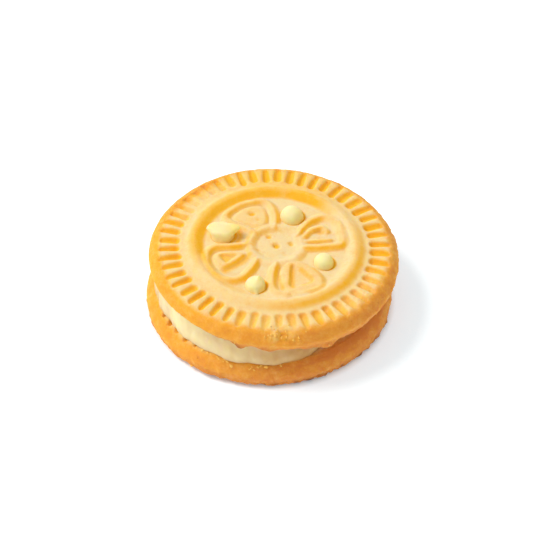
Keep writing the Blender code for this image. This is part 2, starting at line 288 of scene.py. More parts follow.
class BiscuitShape(bpy.types.PropertyGroup):
    """Sizes of the two biscuits and of their moulding."""

    upper_radius: bpy.props.FloatProperty(
        name="Upper radius", description="Greatest radius of the upper biscuit",
        default=0.0249, min=0.01, unit="LENGTH", subtype="DISTANCE")
    lower_radius: bpy.props.FloatProperty(
        name="Lower radius", description="Greatest radius of the lower biscuit",
        default=0.02465, min=0.01, unit="LENGTH", subtype="DISTANCE")
    thickness: bpy.props.FloatProperty(
        name="Thickness", description="Height of one biscuit from underside to moulded face",
        default=0.0052, min=0.001, unit="LENGTH", subtype="DISTANCE")
    upper_shift: bpy.props.FloatProperty(
        name="Upper shift", description="How far the upper biscuit lies to the right of the lower",
        default=0.001, unit="LENGTH", subtype="DISTANCE")
    upper_height: bpy.props.FloatProperty(
        name="Upper height", description="Height of the middle of the upper biscuit's underside",
        default=0.0094, unit="LENGTH", subtype="DISTANCE")
    upper_tilt: bpy.props.FloatProperty(
        name="Upper tilt", description="Slope of the upper biscuit down to the right",
        default=math.radians(2.75), subtype="ANGLE")
    rim_lift: bpy.props.FloatProperty(
        name="Rim lift", description="How far the upper rim curls up off the cream at the front left",
        default=0.0014, unit="LENGTH", subtype="DISTANCE")
    groove_depth: bpy.props.FloatProperty(
        name="Groove depth", description="Depth of the moulded grooves near the rim",
        default=0.00085, min=0.0, unit="LENGTH", subtype="DISTANCE")
    groove_width: bpy.props.FloatProperty(
        name="Groove width", description="Width of a groove as a share of the distance between two",
        default=0.86, min=0.1, max=0.98, subtype="FACTOR")
    groove_taper: bpy.props.FloatProperty(
        name="Groove taper", description="How much narrower and shallower a groove's outer end is",
        default=0.45, min=0.0, max=1.0, subtype="FACTOR")
    groove_inner: bpy.props.FloatProperty(
        name="Groove inner end", description="Radius at which the grooves begin",
        default=0.0186, unit="LENGTH", subtype="DISTANCE")
    groove_outer: bpy.props.FloatProperty(
        name="Groove outer end", description="Radius at which the grooves run out at the shoulder",
        default=0.0232, unit="LENGTH", subtype="DISTANCE")
    groove_start: bpy.props.FloatProperty(
        name="Groove start", description="Angle of the first groove",
        default=math.radians(3.1), subtype="ANGLE")
    groove_drift: bpy.props.FloatProperty(
        name="Groove drift", description="How far the mould was off centre, as a turn of the grooves",
        default=math.radians(1.4), subtype="ANGLE")
    ridge_height: bpy.props.FloatProperty(
        name="Petal ridge height", description="Height of the ridges round the petals and the hub",
        default=0.00068, min=0.0, unit="LENGTH", subtype="DISTANCE")
    ridge_width: bpy.props.FloatProperty(
        name="Petal ridge half width", description="Half width of those ridges at their foot",
        default=0.0013, min=0.0001, unit="LENGTH", subtype="DISTANCE")


class CreamShape(bpy.types.PropertyGroup):
    """Sizes of the cream layer."""

    radius: bpy.props.FloatProperty(
        name="Cream radius", description="Radius the cream was squeezed out to",
        default=0.0225, min=0.005, unit="LENGTH", subtype="DISTANCE")
    recess: bpy.props.FloatProperty(
        name="Recess", description="How far the cream stays back at the right",
        default=0.0024, unit="LENGTH", subtype="DISTANCE")
    lip: bpy.props.FloatProperty(
        name="Lip", description="How far the cream's foot spreads at the front",
        default=0.0006, unit="LENGTH", subtype="DISTANCE")
    waviness: bpy.props.FloatProperty(
        name="Waviness", description="Unevenness of the squeezed edge",
        default=0.0003, unit="LENGTH", subtype="DISTANCE")


class CrumbSettings(bpy.types.PropertyGroup):
    """Loose crumbs on the biscuits' broken and worn places."""

    density: bpy.props.FloatProperty(
        name="Density", description="Crumbs for each square metre where the surface is most broken",
        default=3000000.0, min=0.0)
    smallest: bpy.props.FloatProperty(
        name="Smallest", description="Radius of the smallest crumb",
        default=0.00016, min=0.00001, unit="LENGTH", subtype="DISTANCE")
    largest: bpy.props.FloatProperty(
        name="Largest", description="Radius of the largest crumb",
        default=0.0004, min=0.00001, unit="LENGTH", subtype="DISTANCE")
    seed: bpy.props.IntProperty(
        name="Seed", description="Seed of the crumbs' places and sizes", default=7)


class BakeLooks(bpy.types.PropertyGroup):
    """Colours of the biscuits and the cream."""

    pale: bpy.props.FloatVectorProperty(
        name="Pale dough", description="Colour of the raised, least baked dough",
        default=(0.86, 0.69, 0.39), size=3, min=0.0, max=1.0, subtype="COLOR")
    # Golden is the colour of the bake and also of the painted shade on the moulding's flanks and in its
    # hollows.
    golden: bpy.props.FloatVectorProperty(
        name="Golden dough", description="Colour in the hollows of the moulding",
        default=(0.95, 0.50, 0.03), size=3, min=0.0, max=1.0, subtype="COLOR")
    brown: bpy.props.FloatVectorProperty(
        name="Browned dough", description="Colour of the browned sides",
        default=(0.73, 0.265, 0.06), size=3, min=0.0, max=1.0, subtype="COLOR")
    scorched: bpy.props.FloatVectorProperty(
        name="Scorched dough", description="Colour of the darkest edge",
        default=(0.16, 0.05, 0.03), size=3, min=0.0, max=1.0, subtype="COLOR")
    cream: bpy.props.FloatVectorProperty(
        name="Cream", description="Colour of the cream",
        default=(0.90, 0.80, 0.47), size=3, min=0.0, max=1.0, subtype="COLOR")
    # The layer's cream is darker as painted shade, for the layer lies in the shade between the
    # biscuits.
    cream_in_shade: bpy.props.FloatVectorProperty(
        name="Cream in the layer", description="Colour of the denser cream in the layer",
        default=(0.84, 0.66, 0.38), size=3, min=0.0, max=1.0, subtype="COLOR")
    cream_warm: bpy.props.FloatVectorProperty(
        name="Cream lit through", description="Colour where light comes through a bead's thin side",
        default=(1.0, 0.7, 0.13), size=3, min=0.0, max=1.0, subtype="COLOR")
    # Tan is painted shade at the cream's right and crust along its foot.
    cream_tan: bpy.props.FloatVectorProperty(
        name="Cream at its edge", description="Colour of the cream where it dried and took up crumbs",
        default=(0.52, 0.27, 0.08), size=3, min=0.0, max=1.0, subtype="COLOR")


class StageSettings(bpy.types.PropertyGroup):
    """Floor and light."""

    key_strength: bpy.props.FloatProperty(
        name="Key strength", description="Power of the soft light from the left", default=1.95, min=0.0)
    sky_strength: bpy.props.FloatProperty(
        name="Sky strength", description="Strength of the even light all round", default=0.64, min=0.0)
    floor: bpy.props.FloatVectorProperty(
        name="Floor", description="Colour of the floor",
        default=(0.85, 0.85, 0.85), size=3, min=0.0, max=1.0, subtype="COLOR")
    floor_glow: bpy.props.FloatProperty(
        name="Floor glow", description="Light the floor gives off, as a light table does",
        default=0.4, min=0.0)


SETTINGS = {
    "biscuit_shape": BiscuitShape,
    "cream_shape": CreamShape,
    "crumb_settings": CrumbSettings,
    "bake_looks": BakeLooks,
    "stage_settings": StageSettings,
}


# ---------------------------------------------------------------- shape helpers


def smoothstep(low, high, value):
    """0 at low and 1 at high, with a smooth rise between them."""
    part = np.clip((value - low) / (high - low), 0.0, 1.0)
    return part * part * (3.0 - 2.0 * part)


def bump(angle, middle, half_width):
    """1 at the middle angle, falling smoothly to 0 at half_width either side. All in degrees."""
    away = (np.degrees(angle) - middle + 180.0) % 360.0 - 180.0
    return np.where(np.abs(away) < half_width, 0.5 + 0.5 * np.cos(np.pi * away / half_width), 0.0)


def grain(points, scale, seed, octaves=1):
    """Smooth random values from about -1 to 1 at points in mm; scale is the size of a lump."""
    shifted = points / scale + seed * 17.31
    if octaves == 1:
        return np.array([noise.noise(Vector(p)) for p in shifted])
    return np.array([noise.fractal(Vector(p), 1.0, 2.1, octaves) for p in shifted])


def flowing_line(points, steps):
    """A smooth line through loose points."""
    knots = np.array(points, float)
    before = np.vstack([2 * knots[0] - knots[1], knots[:-1]])[:-1]
    after = np.vstack([knots[1:], 2 * knots[-1] - knots[-2]])[1:]
    line = []
    for a, b, c, d in zip(before, knots[:-1], knots[1:], after):
        for t in np.linspace(0.0, 1.0, steps, endpoint=False):
            line.append(0.5 * (2 * b + (c - a) * t + (2 * a - 5 * b + 4 * c - d) * t**2
                               + (3 * b - a - 3 * c + d) * t**3))
    return np.array(line + [knots[-1]])


def distance_to_line(x, y, line):
    """The distance from each point to the nearest stretch of a line."""
    best = np.full(x.shape, 1e9)
    for (ax, ay), (bx, by) in zip(line[:-1], line[1:]):
        dx, dy = bx - ax, by - ay
        along = np.clip(((x - ax) * dx + (y - ay) * dy) / (dx * dx + dy * dy + 1e-12), 0.0, 1.0)
        best = np.minimum(best, np.hypot(x - ax - along * dx, y - ay - along * dy))
    return best


def inside_outline(x, y, line):
    """Whether each point lies inside a closed line."""
    inside = np.zeros(x.shape, bool)
    for (ax, ay), (bx, by) in zip(line, np.roll(line, -1, axis=0)):
        crosses = (ay > y) != (by > y)
        inside ^= crosses & (x < (bx - ax) * (y - ay) / (by - ay + 1e-12) + ax)
    return inside


def ridge_section(distance, half_width):
    """A round-topped ridge, 1 on its crest and 0 past its half width."""
    return 0.5 + 0.5 * np.cos(np.pi * np.clip(np.abs(distance) / half_width, 0.0, 1.0))


def blend_up(heights, softness=0.12):
    """The highest of several heights, with soft valleys where they meet."""
    stack = np.array(heights) / softness
    top = stack.max(axis=0)
    total = np.exp(stack - top).sum(axis=0)
    return softness * (top + np.log(total)) - softness * math.log(len(heights)) * np.exp(-top)


def turned_mesh(rows, columns, start=0.0, drift=0.0):
    """The points and faces of a closed turned mesh from (radius, height) rows.

    The rows run from the top's middle over the side to the underside's middle. The last two
    points are the poles that close the top and the underside.
    """
    angles = start + np.arange(columns) * math.tau / columns
    angles = angles + drift * np.sin(angles)
    rows = np.array(rows, float)
    ring = np.stack([np.cos(angles), np.sin(angles)], axis=1)
    points = np.empty((len(rows), columns, 3))
    points[:, :, :2] = rows[:, None, :1] * ring[None]
    points[:, :, 2] = rows[:, 1:2]
    points = np.vstack([points.reshape(-1, 3), [(0, 0, rows[0, 1]), (0, 0, rows[-1, 1])]])
    here = np.arange(columns)
    there = np.roll(here, -1)
    faces = []
    for row in range(len(rows) - 1):
        a, b = row * columns, (row + 1) * columns
        faces += np.stack([a + here, b + here, b + there, a + there], axis=1).tolist()
    top, bottom = len(points) - 2, len(points) - 1
    faces += [(top, int(i), int(j)) for i, j in zip(here, there)]
    last = (len(rows) - 1) * columns
    faces += [(bottom, int(last + j), int(last + i)) for i, j in zip(here, there)]
    return points, faces


def row_numbers(rows, columns):
    """The number of the row that each point of a turned mesh lies in."""
    return np.append(np.repeat(np.arange(rows), columns), [0, rows - 1])


def plain_mesh(name, points, faces, fields=None):
    """A mesh object in metres from points in mm, with one float attribute for each field."""
    mesh = bpy.data.meshes.new(name)
    mesh.from_pydata((np.asarray(points) * MM).tolist(), [], faces)
    for label, values in (fields or {}).items():
        mesh.attributes.new(label, "FLOAT", "POINT").data.foreach_set("value", values)
    mesh.shade_smooth()
    obj = bpy.data.objects.new(name, mesh)
    bpy.context.scene.collection.objects.link(obj)
    return obj


def settle(obj):
    """Applies the object's modifiers, so that it is a plain mesh."""
    graph = bpy.context.evaluated_depsgraph_get()
    mesh = bpy.data.meshes.new_from_object(obj.evaluated_get(graph), depsgraph=graph)
    obj.modifiers.clear()
    old = obj.data
    obj.data = mesh
    bpy.data.meshes.remove(old)
    mesh.name = obj.name
    return obj


def upper_frame(shape):
    """Where the upper biscuit lies: its own origin is the middle of its underside."""
    place = Matrix.Translation((shape.upper_shift, 0.0, shape.upper_height))
    return place @ Matrix.Rotation(shape.upper_tilt, 4, "Y")


def rim_lift(angle, radius):
    """How far the upper biscuit's underside rises towards its rim, as a share of the lift."""
    outward = np.clip((radius - 19.0) / 4.1, 0.0, 1.0)
    return bump(angle, *CURLED_RIM) * outward**2


# ---------------------------------------------------------------- biscuit relief


def table_section(x, y, outline, bevel):
    """1 inside a closed outline and 0 outside it, across a bevel."""
    line = np.array(outline)
    line = flowing_line(np.vstack([line, line[:2]]), 4)[4:]
    away = distance_to_line(x, y, line)
    away = np.where(inside_outline(x, y, line), -away, away)
    return 1.0 - smoothstep(-0.5 * bevel, 0.5 * bevel, away)


def flower_relief(x, y, ridge_height, ridge_width):
    """Height of the moulded flower over the flat face."""
    heights = [np.zeros(x.shape)]
    for outline in (PETAL_LEFT, PETAL_BACK, PETAL_RIGHT, PETAL_FRONT):
        away = distance_to_line(x, y, flowing_line(outline, 6))
        heights.append(ridge_height * ridge_section(away, ridge_width))
    hub = np.hypot(x - HUB_CENTRE[0], y - HUB_CENTRE[1])
    kept = 0.6 + 0.28 * bump(np.arctan2(y, x), *HUB_HIGH)
    heights.append(kept * ridge_height * ridge_section(np.abs(hub - HUB_RADIUS), 1.1 * ridge_width))
    for outline, height, half_width in SMALL_RIDGES:
        away = distance_to_line(x, y, flowing_line(outline, 5))
        heights.append(height * ridge_section(away, half_width))
    for outline, height, bevel in TABLES:
        heights.append(height * table_section(x, y, outline, bevel))
    relief = blend_up(heights)
    for outline, depth, bevel, _ in CUTS:
        relief -= depth * table_section(x, y, outline, bevel)
    relief += 0.18 * (1.0 - smoothstep(0.0, 4.2, hub))
    for cx, cy, length, width, turn, depth in HOLLOWS:
        c, s = math.cos(math.radians(turn)), math.sin(math.radians(turn))
        u = ((x - cx) * c + (y - cy) * s) / length
        v = ((y - cy) * c - (x - cx) * s) / width
        relief -= depth * (1.0 - smoothstep(0.1, 1.2, np.hypot(u, v)))
    for cx, cy, rx, ry, _ in BEADS.values():
        away = np.hypot((x - cx - 0.25) / (rx + 0.1), (y - cy) / (ry + 0.05))
        relief -= 0.12 * (1.0 - smoothstep(0.95, 1.12, away))
    return relief


def ring_relief(radius, angle):
    """Height of the raised ring, a little lower where the rim is worn."""
    inner, crest, outer, height = RING
    rise = smoothstep(inner, crest, radius)
    fall = 1.0 - smoothstep(crest, outer, radius)
    return height * rise * fall * (1.0 - 0.15 * bump(angle, *WORN_RING))


def ring_shade_tone(around, angle):
    """Painted shade on the ring's flanks that look away from the light, strongest at the back and the
    front left.
    """
    turned = SHADED_SIDE[0] * np.cos(angle) + SHADED_SIDE[1] * np.sin(angle)
    inner = smoothstep(13.5, 14.6, around) * (1.0 - 0.3 * smoothstep(14.9, 16.2, around))
    inner *= (1.0 - smoothstep(16.3, 17.8, around)) * (1.0 - 0.3 * bump(angle, *RING_LESS_SHADE))
    outer = smoothstep(15.0, 16.8, around) * (1.0 - smoothstep(17.6, 18.8, around))
    facing = np.maximum(1.1 * smoothstep(0.1, 0.7, -turned), 1.25 * bump(angle, *RING_SHADE_BACK))
    front = 0.6 * bump(angle, *RING_SHADE_FRONT) * ridge_section(around - 14.9, 1.7)
    return np.maximum(inner * facing, front) + 0.6 * outer * smoothstep(0.1, 0.8, turned)


def moulding_shade_tone(x, y, around, angle):
    """Painted shade on the moulding: the ring's shaded flanks, the flower's hollows and shaded lines,
    and the shadow beside each bead; also golden round the hub and over the ring and grooves, most at
    the back.
    """
    tone = ring_shade_tone(around, angle)
    # Painted shadow beside each bead, mostly to its right, away from the light.
    for cx, cy, rx, ry, _ in BEADS.values():
        away = np.hypot((x - cx - 0.35) / rx, (y - cy) / ry)
        tone = np.maximum(tone, 1.0 - smoothstep(1.0, 1.18, away))
    # Painted shade in the hollows, darker in the deeper ones.
    for cx, cy, length, width, _, depth in HOLLOWS:
        away = np.hypot((x - cx) / length, (y - cy) / width)
        tone = np.maximum(tone, min(1.0, 2.6 * depth) * (1.0 - smoothstep(0.3, 1.0, away)))
    # Painted shade along the shaded lines.
    for points, half_width, amount in SHADE_LINES:
        away = distance_to_line(x, y, flowing_line(points, 5))
        tone = np.maximum(tone, amount * ridge_section(away, half_width))
    # Painted shade in the floors of the cut hollows.
    for outline, _, bevel, amount in CUTS:
        tone = np.maximum(tone, amount * table_section(x, y, outline, bevel))
    hub = np.hypot(x - HUB_CENTRE[0], y - HUB_CENTRE[1])
    tone = np.maximum(tone, 0.6 * bump(angle, *HUB_GOLDEN) * ridge_section(hub - 5.8, 1.0))
    outside = 0.4 * bump(angle, *GROOVES_GOLDEN_BACK) * smoothstep(15.5, 17.0, around)
    tone = np.maximum(tone, 0.18 * smoothstep(15.0, 16.5, around) + outside)
    return np.clip(tone, 0.0, 1.0)


def looking_up(points, rows):
    """The surface's directions over the first rows of a turned grid, each made to point up."""
    grid = points[: rows * COLUMNS].reshape(rows, COLUMNS, 3)
    radial = np.gradient(grid, axis=0)
    around = 0.5 * (np.roll(grid, -1, axis=1) - np.roll(grid, 1, axis=1))
    normal = np.cross(radial, around)
    normal /= np.linalg.norm(normal, axis=2, keepdims=True) + 1e-12
    normal[normal[:, :, 2] < 0] *= -1
    directions = np.zeros(points.shape)
    directions[: rows * COLUMNS] = normal.reshape(-1, 3)
    return directions


def biscuit_rows(radius, side, fine_face):
    """A biscuit's rows from its middle to its underside, and where the face and the side end."""
    if fine_face:
        radii = [*np.linspace(0.19, FLOWER_END, 74), *np.linspace(FLOWER_END, RING_END, 25)[1:]]
    else:
        radii = [*np.linspace(2.0, RING_END, 8)]
    radii += [*np.linspace(RING_END, radius - side[0][0], 26)[1:-1]]
    face = [(r, FACE_HEIGHT) for r in radii]
    outline = flowing_line([(radius - inset, height) for inset, height in side], 6)
    wall = [tuple(point) for point in outline]
    under = [(wall[-1][0] * share, 0.0) for share in UNDERSIDE]
    return face + wall + under, len(face), len(face) + len(wall)


class DoughGrid:
    """One biscuit on a turned grid, lying flat, with what the two biscuits have in common.

    Each of the two biscuits adds its own relief and its own fields.
    """

    def __init__(self, shape, radius, side, fine_face, seed, ragged_size):
        rows, face_rows, self.open_rows = biscuit_rows(radius, side, fine_face)
        start = shape.groove_start + math.pi / COLUMNS
        self.points, self.faces = turned_mesh(rows, COLUMNS, start, shape.groove_drift)
        self.radius = radius
        self.x, self.y, self.z = self.points.T.copy()
        self.around = np.hypot(self.x, self.y)
        self.angle = np.arctan2(self.y, self.x)
        row = row_numbers(len(rows), COLUMNS)
        self.on_face = row < face_rows
        self.on_side = (row >= face_rows) & (row < self.open_rows)
        self.under = row >= self.open_rows
        self.worn = np.zeros(self.x.shape)
        self.soft = np.zeros(self.x.shape)
        self.chip = np.zeros(self.x.shape)
        self.flake = np.zeros(self.x.shape)
        self.coarse = grain(self.points, 5.0, seed)
        self.lumps = grain(self.points, 1.6, seed + 1.0, 3)
        self.fine = grain(self.points, 0.5, seed + 2.0)
        self.ragged = grain(self.points * [1, 1, 0.0], ragged_size, seed + 3.0, 3)

    def at(self, place):
        """1 in the middle of a place round the rim, falling smoothly to 0 at its ends."""
        return bump(self.angle, *place)

    def beyond(self, start, end):
        """0 up to one distance from the middle, rising smoothly to 1 at the other."""
        return smoothstep(start, end, self.around)

    def softened(self, values, passes):
        """Averages a value with its neighbours on the face and the side."""
        count = self.open_rows * COLUMNS
        grid = values[:count].reshape(self.open_rows, COLUMNS)
        for _ in range(passes):
            grid = 0.5 * grid + 0.25 * (np.roll(grid, 1, axis=1) + np.roll(grid, -1, axis=1))
            row_before = np.vstack([grid[:1], grid[:-1]])
            row_after = np.vstack([grid[1:], grid[-1:]])
            grid = 0.5 * grid + 0.25 * (row_before + row_after)
        return np.concatenate([grid.ravel(), values[count:]])

    def uneven_face(self):
        """Gives the face small waves, rounds its edge and lowers its worn rim."""
        waves = 0.05 * self.coarse + 0.035 * self.lumps + 0.012 * self.fine
        self.z = self.z + np.where(self.on_face, waves, 0.0)
        edge = np.clip((self.around - self.radius + 3.9) / 1.8, 0.0, 1.0)
        self.z = self.z - np.where(self.on_face, 0.2 * edge**2, 0.0)
        lost = self.worn * self.beyond(18.0, 20.5) * (0.15 - 0.12 * self.lumps)
        self.z = self.z - lost * smoothstep(3.0, 5.0, self.z)

    def uneven_side(self, ragged_depth):
        """How far the side stands out: lumps under the shoulder and a ragged foot."""
        self.low = np.clip(1.0 - self.z / BELLY, 0.0, 1.0) * (~self.on_face)
        self.below_shoulder = self.on_side * (1.0 - smoothstep(4.1, 4.95, self.z))
        self.rim_only = np.where(self.under, smoothstep(0.9, 1.0, self.around / self.radius), 1.0)
        lumpy = 0.10 * self.coarse + 0.20 * self.lumps + 0.09 * self.fine
        even = np.maximum(0.8 * self.at(EVEN_LEFT), 0.75 * self.at(EVEN_BACK))
        outward = lumpy * self.below_shoulder * (1.0 - even)
        return outward + ragged_depth * self.ragged * self.low**2 * self.rim_only

    def uneven_underside(self):
        """Gives the flat underside its very small unevenness."""
        inner = self.under & (self.around < 0.93 * self.radius)
        self.z = np.where(inner, self.z + 0.02 * np.abs(self.lumps), self.z)

    def push_out(self, outward):
        """Moves every point away from the middle by its own distance."""
        grow = 1.0 + outward / np.maximum(self.around, 1e-6)
        self.points = np.stack([self.x * grow, self.y * grow, self.z], axis=1)

    def flank_shade(self, flower_share):
        """Painted shade: golden on the flanks that look away from the light, to the front right, and,
        less so, wherever the face is steep.
        """
        normal = looking_up(self.points, self.open_rows)
        away = np.clip(normal @ np.array([*SHADED_SIDE, 0.0]), 0.0, 1.0)
        steep = np.clip(np.hypot(normal[:, 0], normal[:, 1]), 0.0, 1.0)
        golden = 0.95 * smoothstep(0.0, 0.5, away) + 0.15 * smoothstep(0.1, 0.8, steep)
        golden = golden * np.where(self.around < 13.6, flower_share, 1.0)
        return self.softened(golden, 5)

    def baked_edge(self):
        """How far the bake of the rim has come in over the shoulder: 1 on the whole side."""
        begin = self.radius - 3.2 - 1.2 * self.worn + 0.55 * self.at(PALE_SHOULDER)
        over = np.where(self.under, 1.0, smoothstep(begin, begin + 2.4, self.around))
        return np.where(self.z < 2.6, 1.0, over)

    def golden_tone(self, face_shade_tone, over):
        """Golden: painted shade in the moulding, and the bake on the side, paler where it is chipped.
        """
        golden = np.where(self.on_side, 0.0, face_shade_tone)
        golden = np.maximum(golden, 0.95 * np.minimum(1.0, 1.4 * over))
        golden = golden * (1.0 - self.chip * (0.25 + 0.4 * self.lumps))
        rubbed = self.worn * 0.5 * self.beyond(19.6, 21.6) * self.on_face
        return golden + rubbed * (0.5 + self.lumps)

    def brown_tone(self, over, own_part):
        """Brown on the side, most at the foot and at the front right, where it is partly bake and
        partly painted shade, and under the biscuit.
        """
        brown = 0.40 * over + 0.45 * self.low + 0.35 * self.at(BROWN_AND_SHADE_RIGHT) * over
        brown = brown + 0.15 * self.at(BROWN_BACK) * over
        brown = brown + own_part
        brown = np.where(self.under, 0.6 + 0.25 * self.lumps, brown) + 0.12 * self.coarse
        brown = brown * (1.0 - 0.8 * self.chip * (0.8 + self.lumps))
        return brown + 0.2 * self.worn * self.beyond(20.6, 22.6)

    def scorched_edge(self):
        """Dark on the parts of the foot that stick out."""
        sticking_out = self.low**2 * smoothstep(-0.02, 0.22, self.ragged)
        return 0.3 * np.where(self.on_face, 0.0, sticking_out)

    def groove_share(self):
        """How much of each groove is left: less where the rim is rubbed, soft or chipped."""
        rubbed = self.worn * (0.65 - 0.55 * self.beyond(20.4, 21.8))
        left = 1.0 - rubbed - 0.3 * self.soft - 0.8 * self.chip
        return np.where(self.on_face | (self.z > 3.8), left, 0.0)

    def mesh(self, name):
        """The biscuit's mesh object, with the fields that its finish and its crumbs read."""
        fields = {label: np.clip(values, 0.0, 1.0) for label, values in self.fields().items()}
        return plain_mesh(name, self.points, self.faces, fields)


class UpperDough(DoughGrid):
    """The upper biscuit: the ring and the flower, and its worn, soft, chipped and flaked places."""

    def __init__(self, shape):
        super().__init__(shape, shape.upper_radius / MM, UPPER_SIDE, fine_face=True, seed=3.0,
                         ragged_size=2.4)
        self.worn = self.at(WORN_RIM)
        self.soft = self.at(SOFT_RIM)
        self.raise_moulding(shape)
        self.break_rim()
        self.uneven_face()
        self.push_out(self.hanging_side(shape))

    def raise_moulding(self, shape):
        """Raises the ring and the flower on the face."""
        near = self.around < 16.0
        self.flower = np.zeros(self.x.shape)
        self.flower[near] = flower_relief(
            self.x[near], self.y[near], shape.ridge_height / MM, shape.ridge_width / MM)
        self.flower *= 1.0 - self.beyond(14.6, 15.6)
        relief = ring_relief(self.around, self.angle) + self.flower
        self.z = self.z + np.where(self.on_face, relief, 0.0)

    def break_rim(self):
        """Roughens the soft shoulder and marks where the rim is chipped and the foot flaked."""
        softened = self.soft * self.beyond(19.5, 21.5) * smoothstep(3.5, 5.0, self.z)
        self.z = self.z - softened * (0.04 - 0.16 * self.lumps - 0.10 * self.fine)
        self.chip = self.at(CHIPPED_RIM) * self.beyond(21.4, 22.5) * smoothstep(2.8, 4.1, self.z)
        self.flake = self.at(FLAKED_FOOT) * (~self.on_face) * smoothstep(1.6, 0.4, self.z)

    def hanging_side(self, shape):
        """How far the side stands out. Bits hang from its foot, and it curls up off the cream."""
        outward = self.uneven_side(0.6)
        hanging = sum(length * self.at(place) for place, length in HANGING_BITS)
        outward += (0.75 * self.flake + 0.3 * hanging) * self.low**2 * self.rim_only
        drop = (hanging + 0.45 * self.flake - 0.35 * self.lumps) * self.low * self.rim_only
        self.z = self.z - drop * (~self.on_face)
        outward -= 0.12 * self.at(INSET_SIDE) * self.below_shoulder
        broken = 0.25 * self.chip * (0.3 - 0.3 * self.lumps - 0.6 * self.fine)
        outward -= broken * self.beyond(22.3, 23.4) * (~self.under)
        self.z = self.z - self.chip * (0.22 - 0.3 * self.lumps - 0.16 * self.fine)
        curl = shape.rim_lift / MM * rim_lift(self.angle, self.around)
        curl = curl * np.clip(1.0 - self.z / BELLY, 0.0, 1.0)
        self.z = self.z + np.where(self.on_face, 0.0, curl)
        self.uneven_underside()
        return outward

    def fields(self):
        """The values at each vertex that the finish, the grooves and the crumbs read."""
        over = self.baked_edge()
        moulding = moulding_shade_tone(self.x, self.y, self.around, self.angle)
        # Painted shade on the flanks and in the hollows of the moulding.
        face_shade_tone = np.maximum(self.flank_shade(0.82), moulding)
        raised = smoothstep(0.12, 0.5, self.flower) * self.beyond(5.6, 6.8)
        face_shade_tone = face_shade_tone + 0.25 * self.softened(raised, 3)
        scorch = self.scorched_edge() + 0.35 * self.at(SCORCHED_SPOT) * self.low**2
        loose = 0.45 * self.chip + 0.013 * self.soft * self.on_face * self.beyond(19.0, 21.0)
        return {
            # Painted shade: browner deep in the grooves near their inner ends, at the front right.
            "deep": 0.4 * self.at(GROOVE_ENDS_SHADED) * (1.0 - self.beyond(19.4, 21.4)),
            "golden": self.golden_tone(face_shade_tone, over),
            "brown": self.brown_tone(over, 0.35 * self.at(BROWN_SPOT) * self.low),
            "scorch": self.softened(scorch, 1),
            "wear": self.groove_share() * (1.0 - 0.3 * self.at(SHALLOW_GROOVES)),
            "crumbly": loose + 0.02 * self.low + 0.15 * self.flake,
        }


class LowerDough(DoughGrid):
    """The lower biscuit: a plain face and a serrated foot that baked dark at the front right."""

    def __init__(self, shape):
        seed = 8.0
        super().__init__(shape, shape.lower_radius / MM, LOWER_SIDE, fine_face=False, seed=seed,
                         ragged_size=1.5)
        serrated = grain(self.points * [1, 1, 0.5], 1.2, seed + 5.0)
        self.serrated = serrated * (1.0 - 0.85 * self.at(EVEN_FOOT))
        self.uneven_face()
        self.push_out(self.serrated_side())

    def serrated_side(self):
        """How far the side stands out. Its foot is serrated and lifts off the table."""
        outward = self.uneven_side(0.45)
        outward += 0.35 * self.at(SPREAD_FOOT) * self.low * self.rim_only
        teeth = 0.75 * np.minimum(self.serrated, 0.1) * smoothstep(1.6, 0.6, self.z)
        outward += teeth * self.rim_only
        share = self.around / self.radius
        lift = 0.16 + 0.22 * np.clip(self.ragged, -0.6, 1.0)
        lift = lift * smoothstep(0.93, 0.985, share) * self.low
        self.z = self.z + np.where(self.on_face, 0.0, lift)
        self.z = self.z + 0.65 * self.at(LIFTED_FOOT) * smoothstep(0.84, 0.95, share) * self.low
        self.uneven_underside()
        self.z = np.maximum(self.z, 0.0)
        return outward

    def fields(self):
        """The values at each vertex that the finish, the grooves and the crumbs read."""
        over = self.baked_edge()
        # Painted shade on the face's rim at the front right, in the crevice under the upper biscuit.
        front = 0.5 * self.at(CREVICE_SHADE) * self.beyond(16.0, 20.0) * (self.z > 4.0)
        wall = self.at(PALE_WALL) * smoothstep(3.0, 2.0, self.z) * smoothstep(0.2, 0.8, self.z)
        golden = self.golden_tone(self.flank_shade(1.0), over)
        teeth = (0.04 + 0.96 * self.at(SCORCHED_FOOT)) * smoothstep(1.6, 0.85, self.z)
        teeth = teeth * smoothstep(-0.02, 0.12, self.serrated) * (~self.on_face)
        seen = np.minimum(1.0, 1.6 * self.at(OPEN_GROOVES))
        from_cream = self.around - 22.6 - 0.6 * self.at(CREAM_LIP)
        loose = self.at(CRUMBED_SHOULDER) * (self.z > 3.8) * smoothstep(-0.1, 0.1, from_cream)
        loose = loose * (1.0 - smoothstep(0.3, 0.6, from_cream))
        return {
            # Painted shade: browner deep in every groove.
            "deep": np.full(self.x.shape, 0.2),
            "golden": golden * (1.0 - 0.3 * wall * (~self.on_face)),
            "brown": self.brown_tone(over, front),
            "scorch": self.softened(self.scorched_edge() + teeth, 1),
            "wear": self.groove_share() * (1.0 - self.beyond(21.0, 21.6) * (1.0 - seen)),
            "crumbly": 0.01 * self.low * (self.z > 0.6) + loose,
        }


# ---------------------------------------------------------------- node helpers


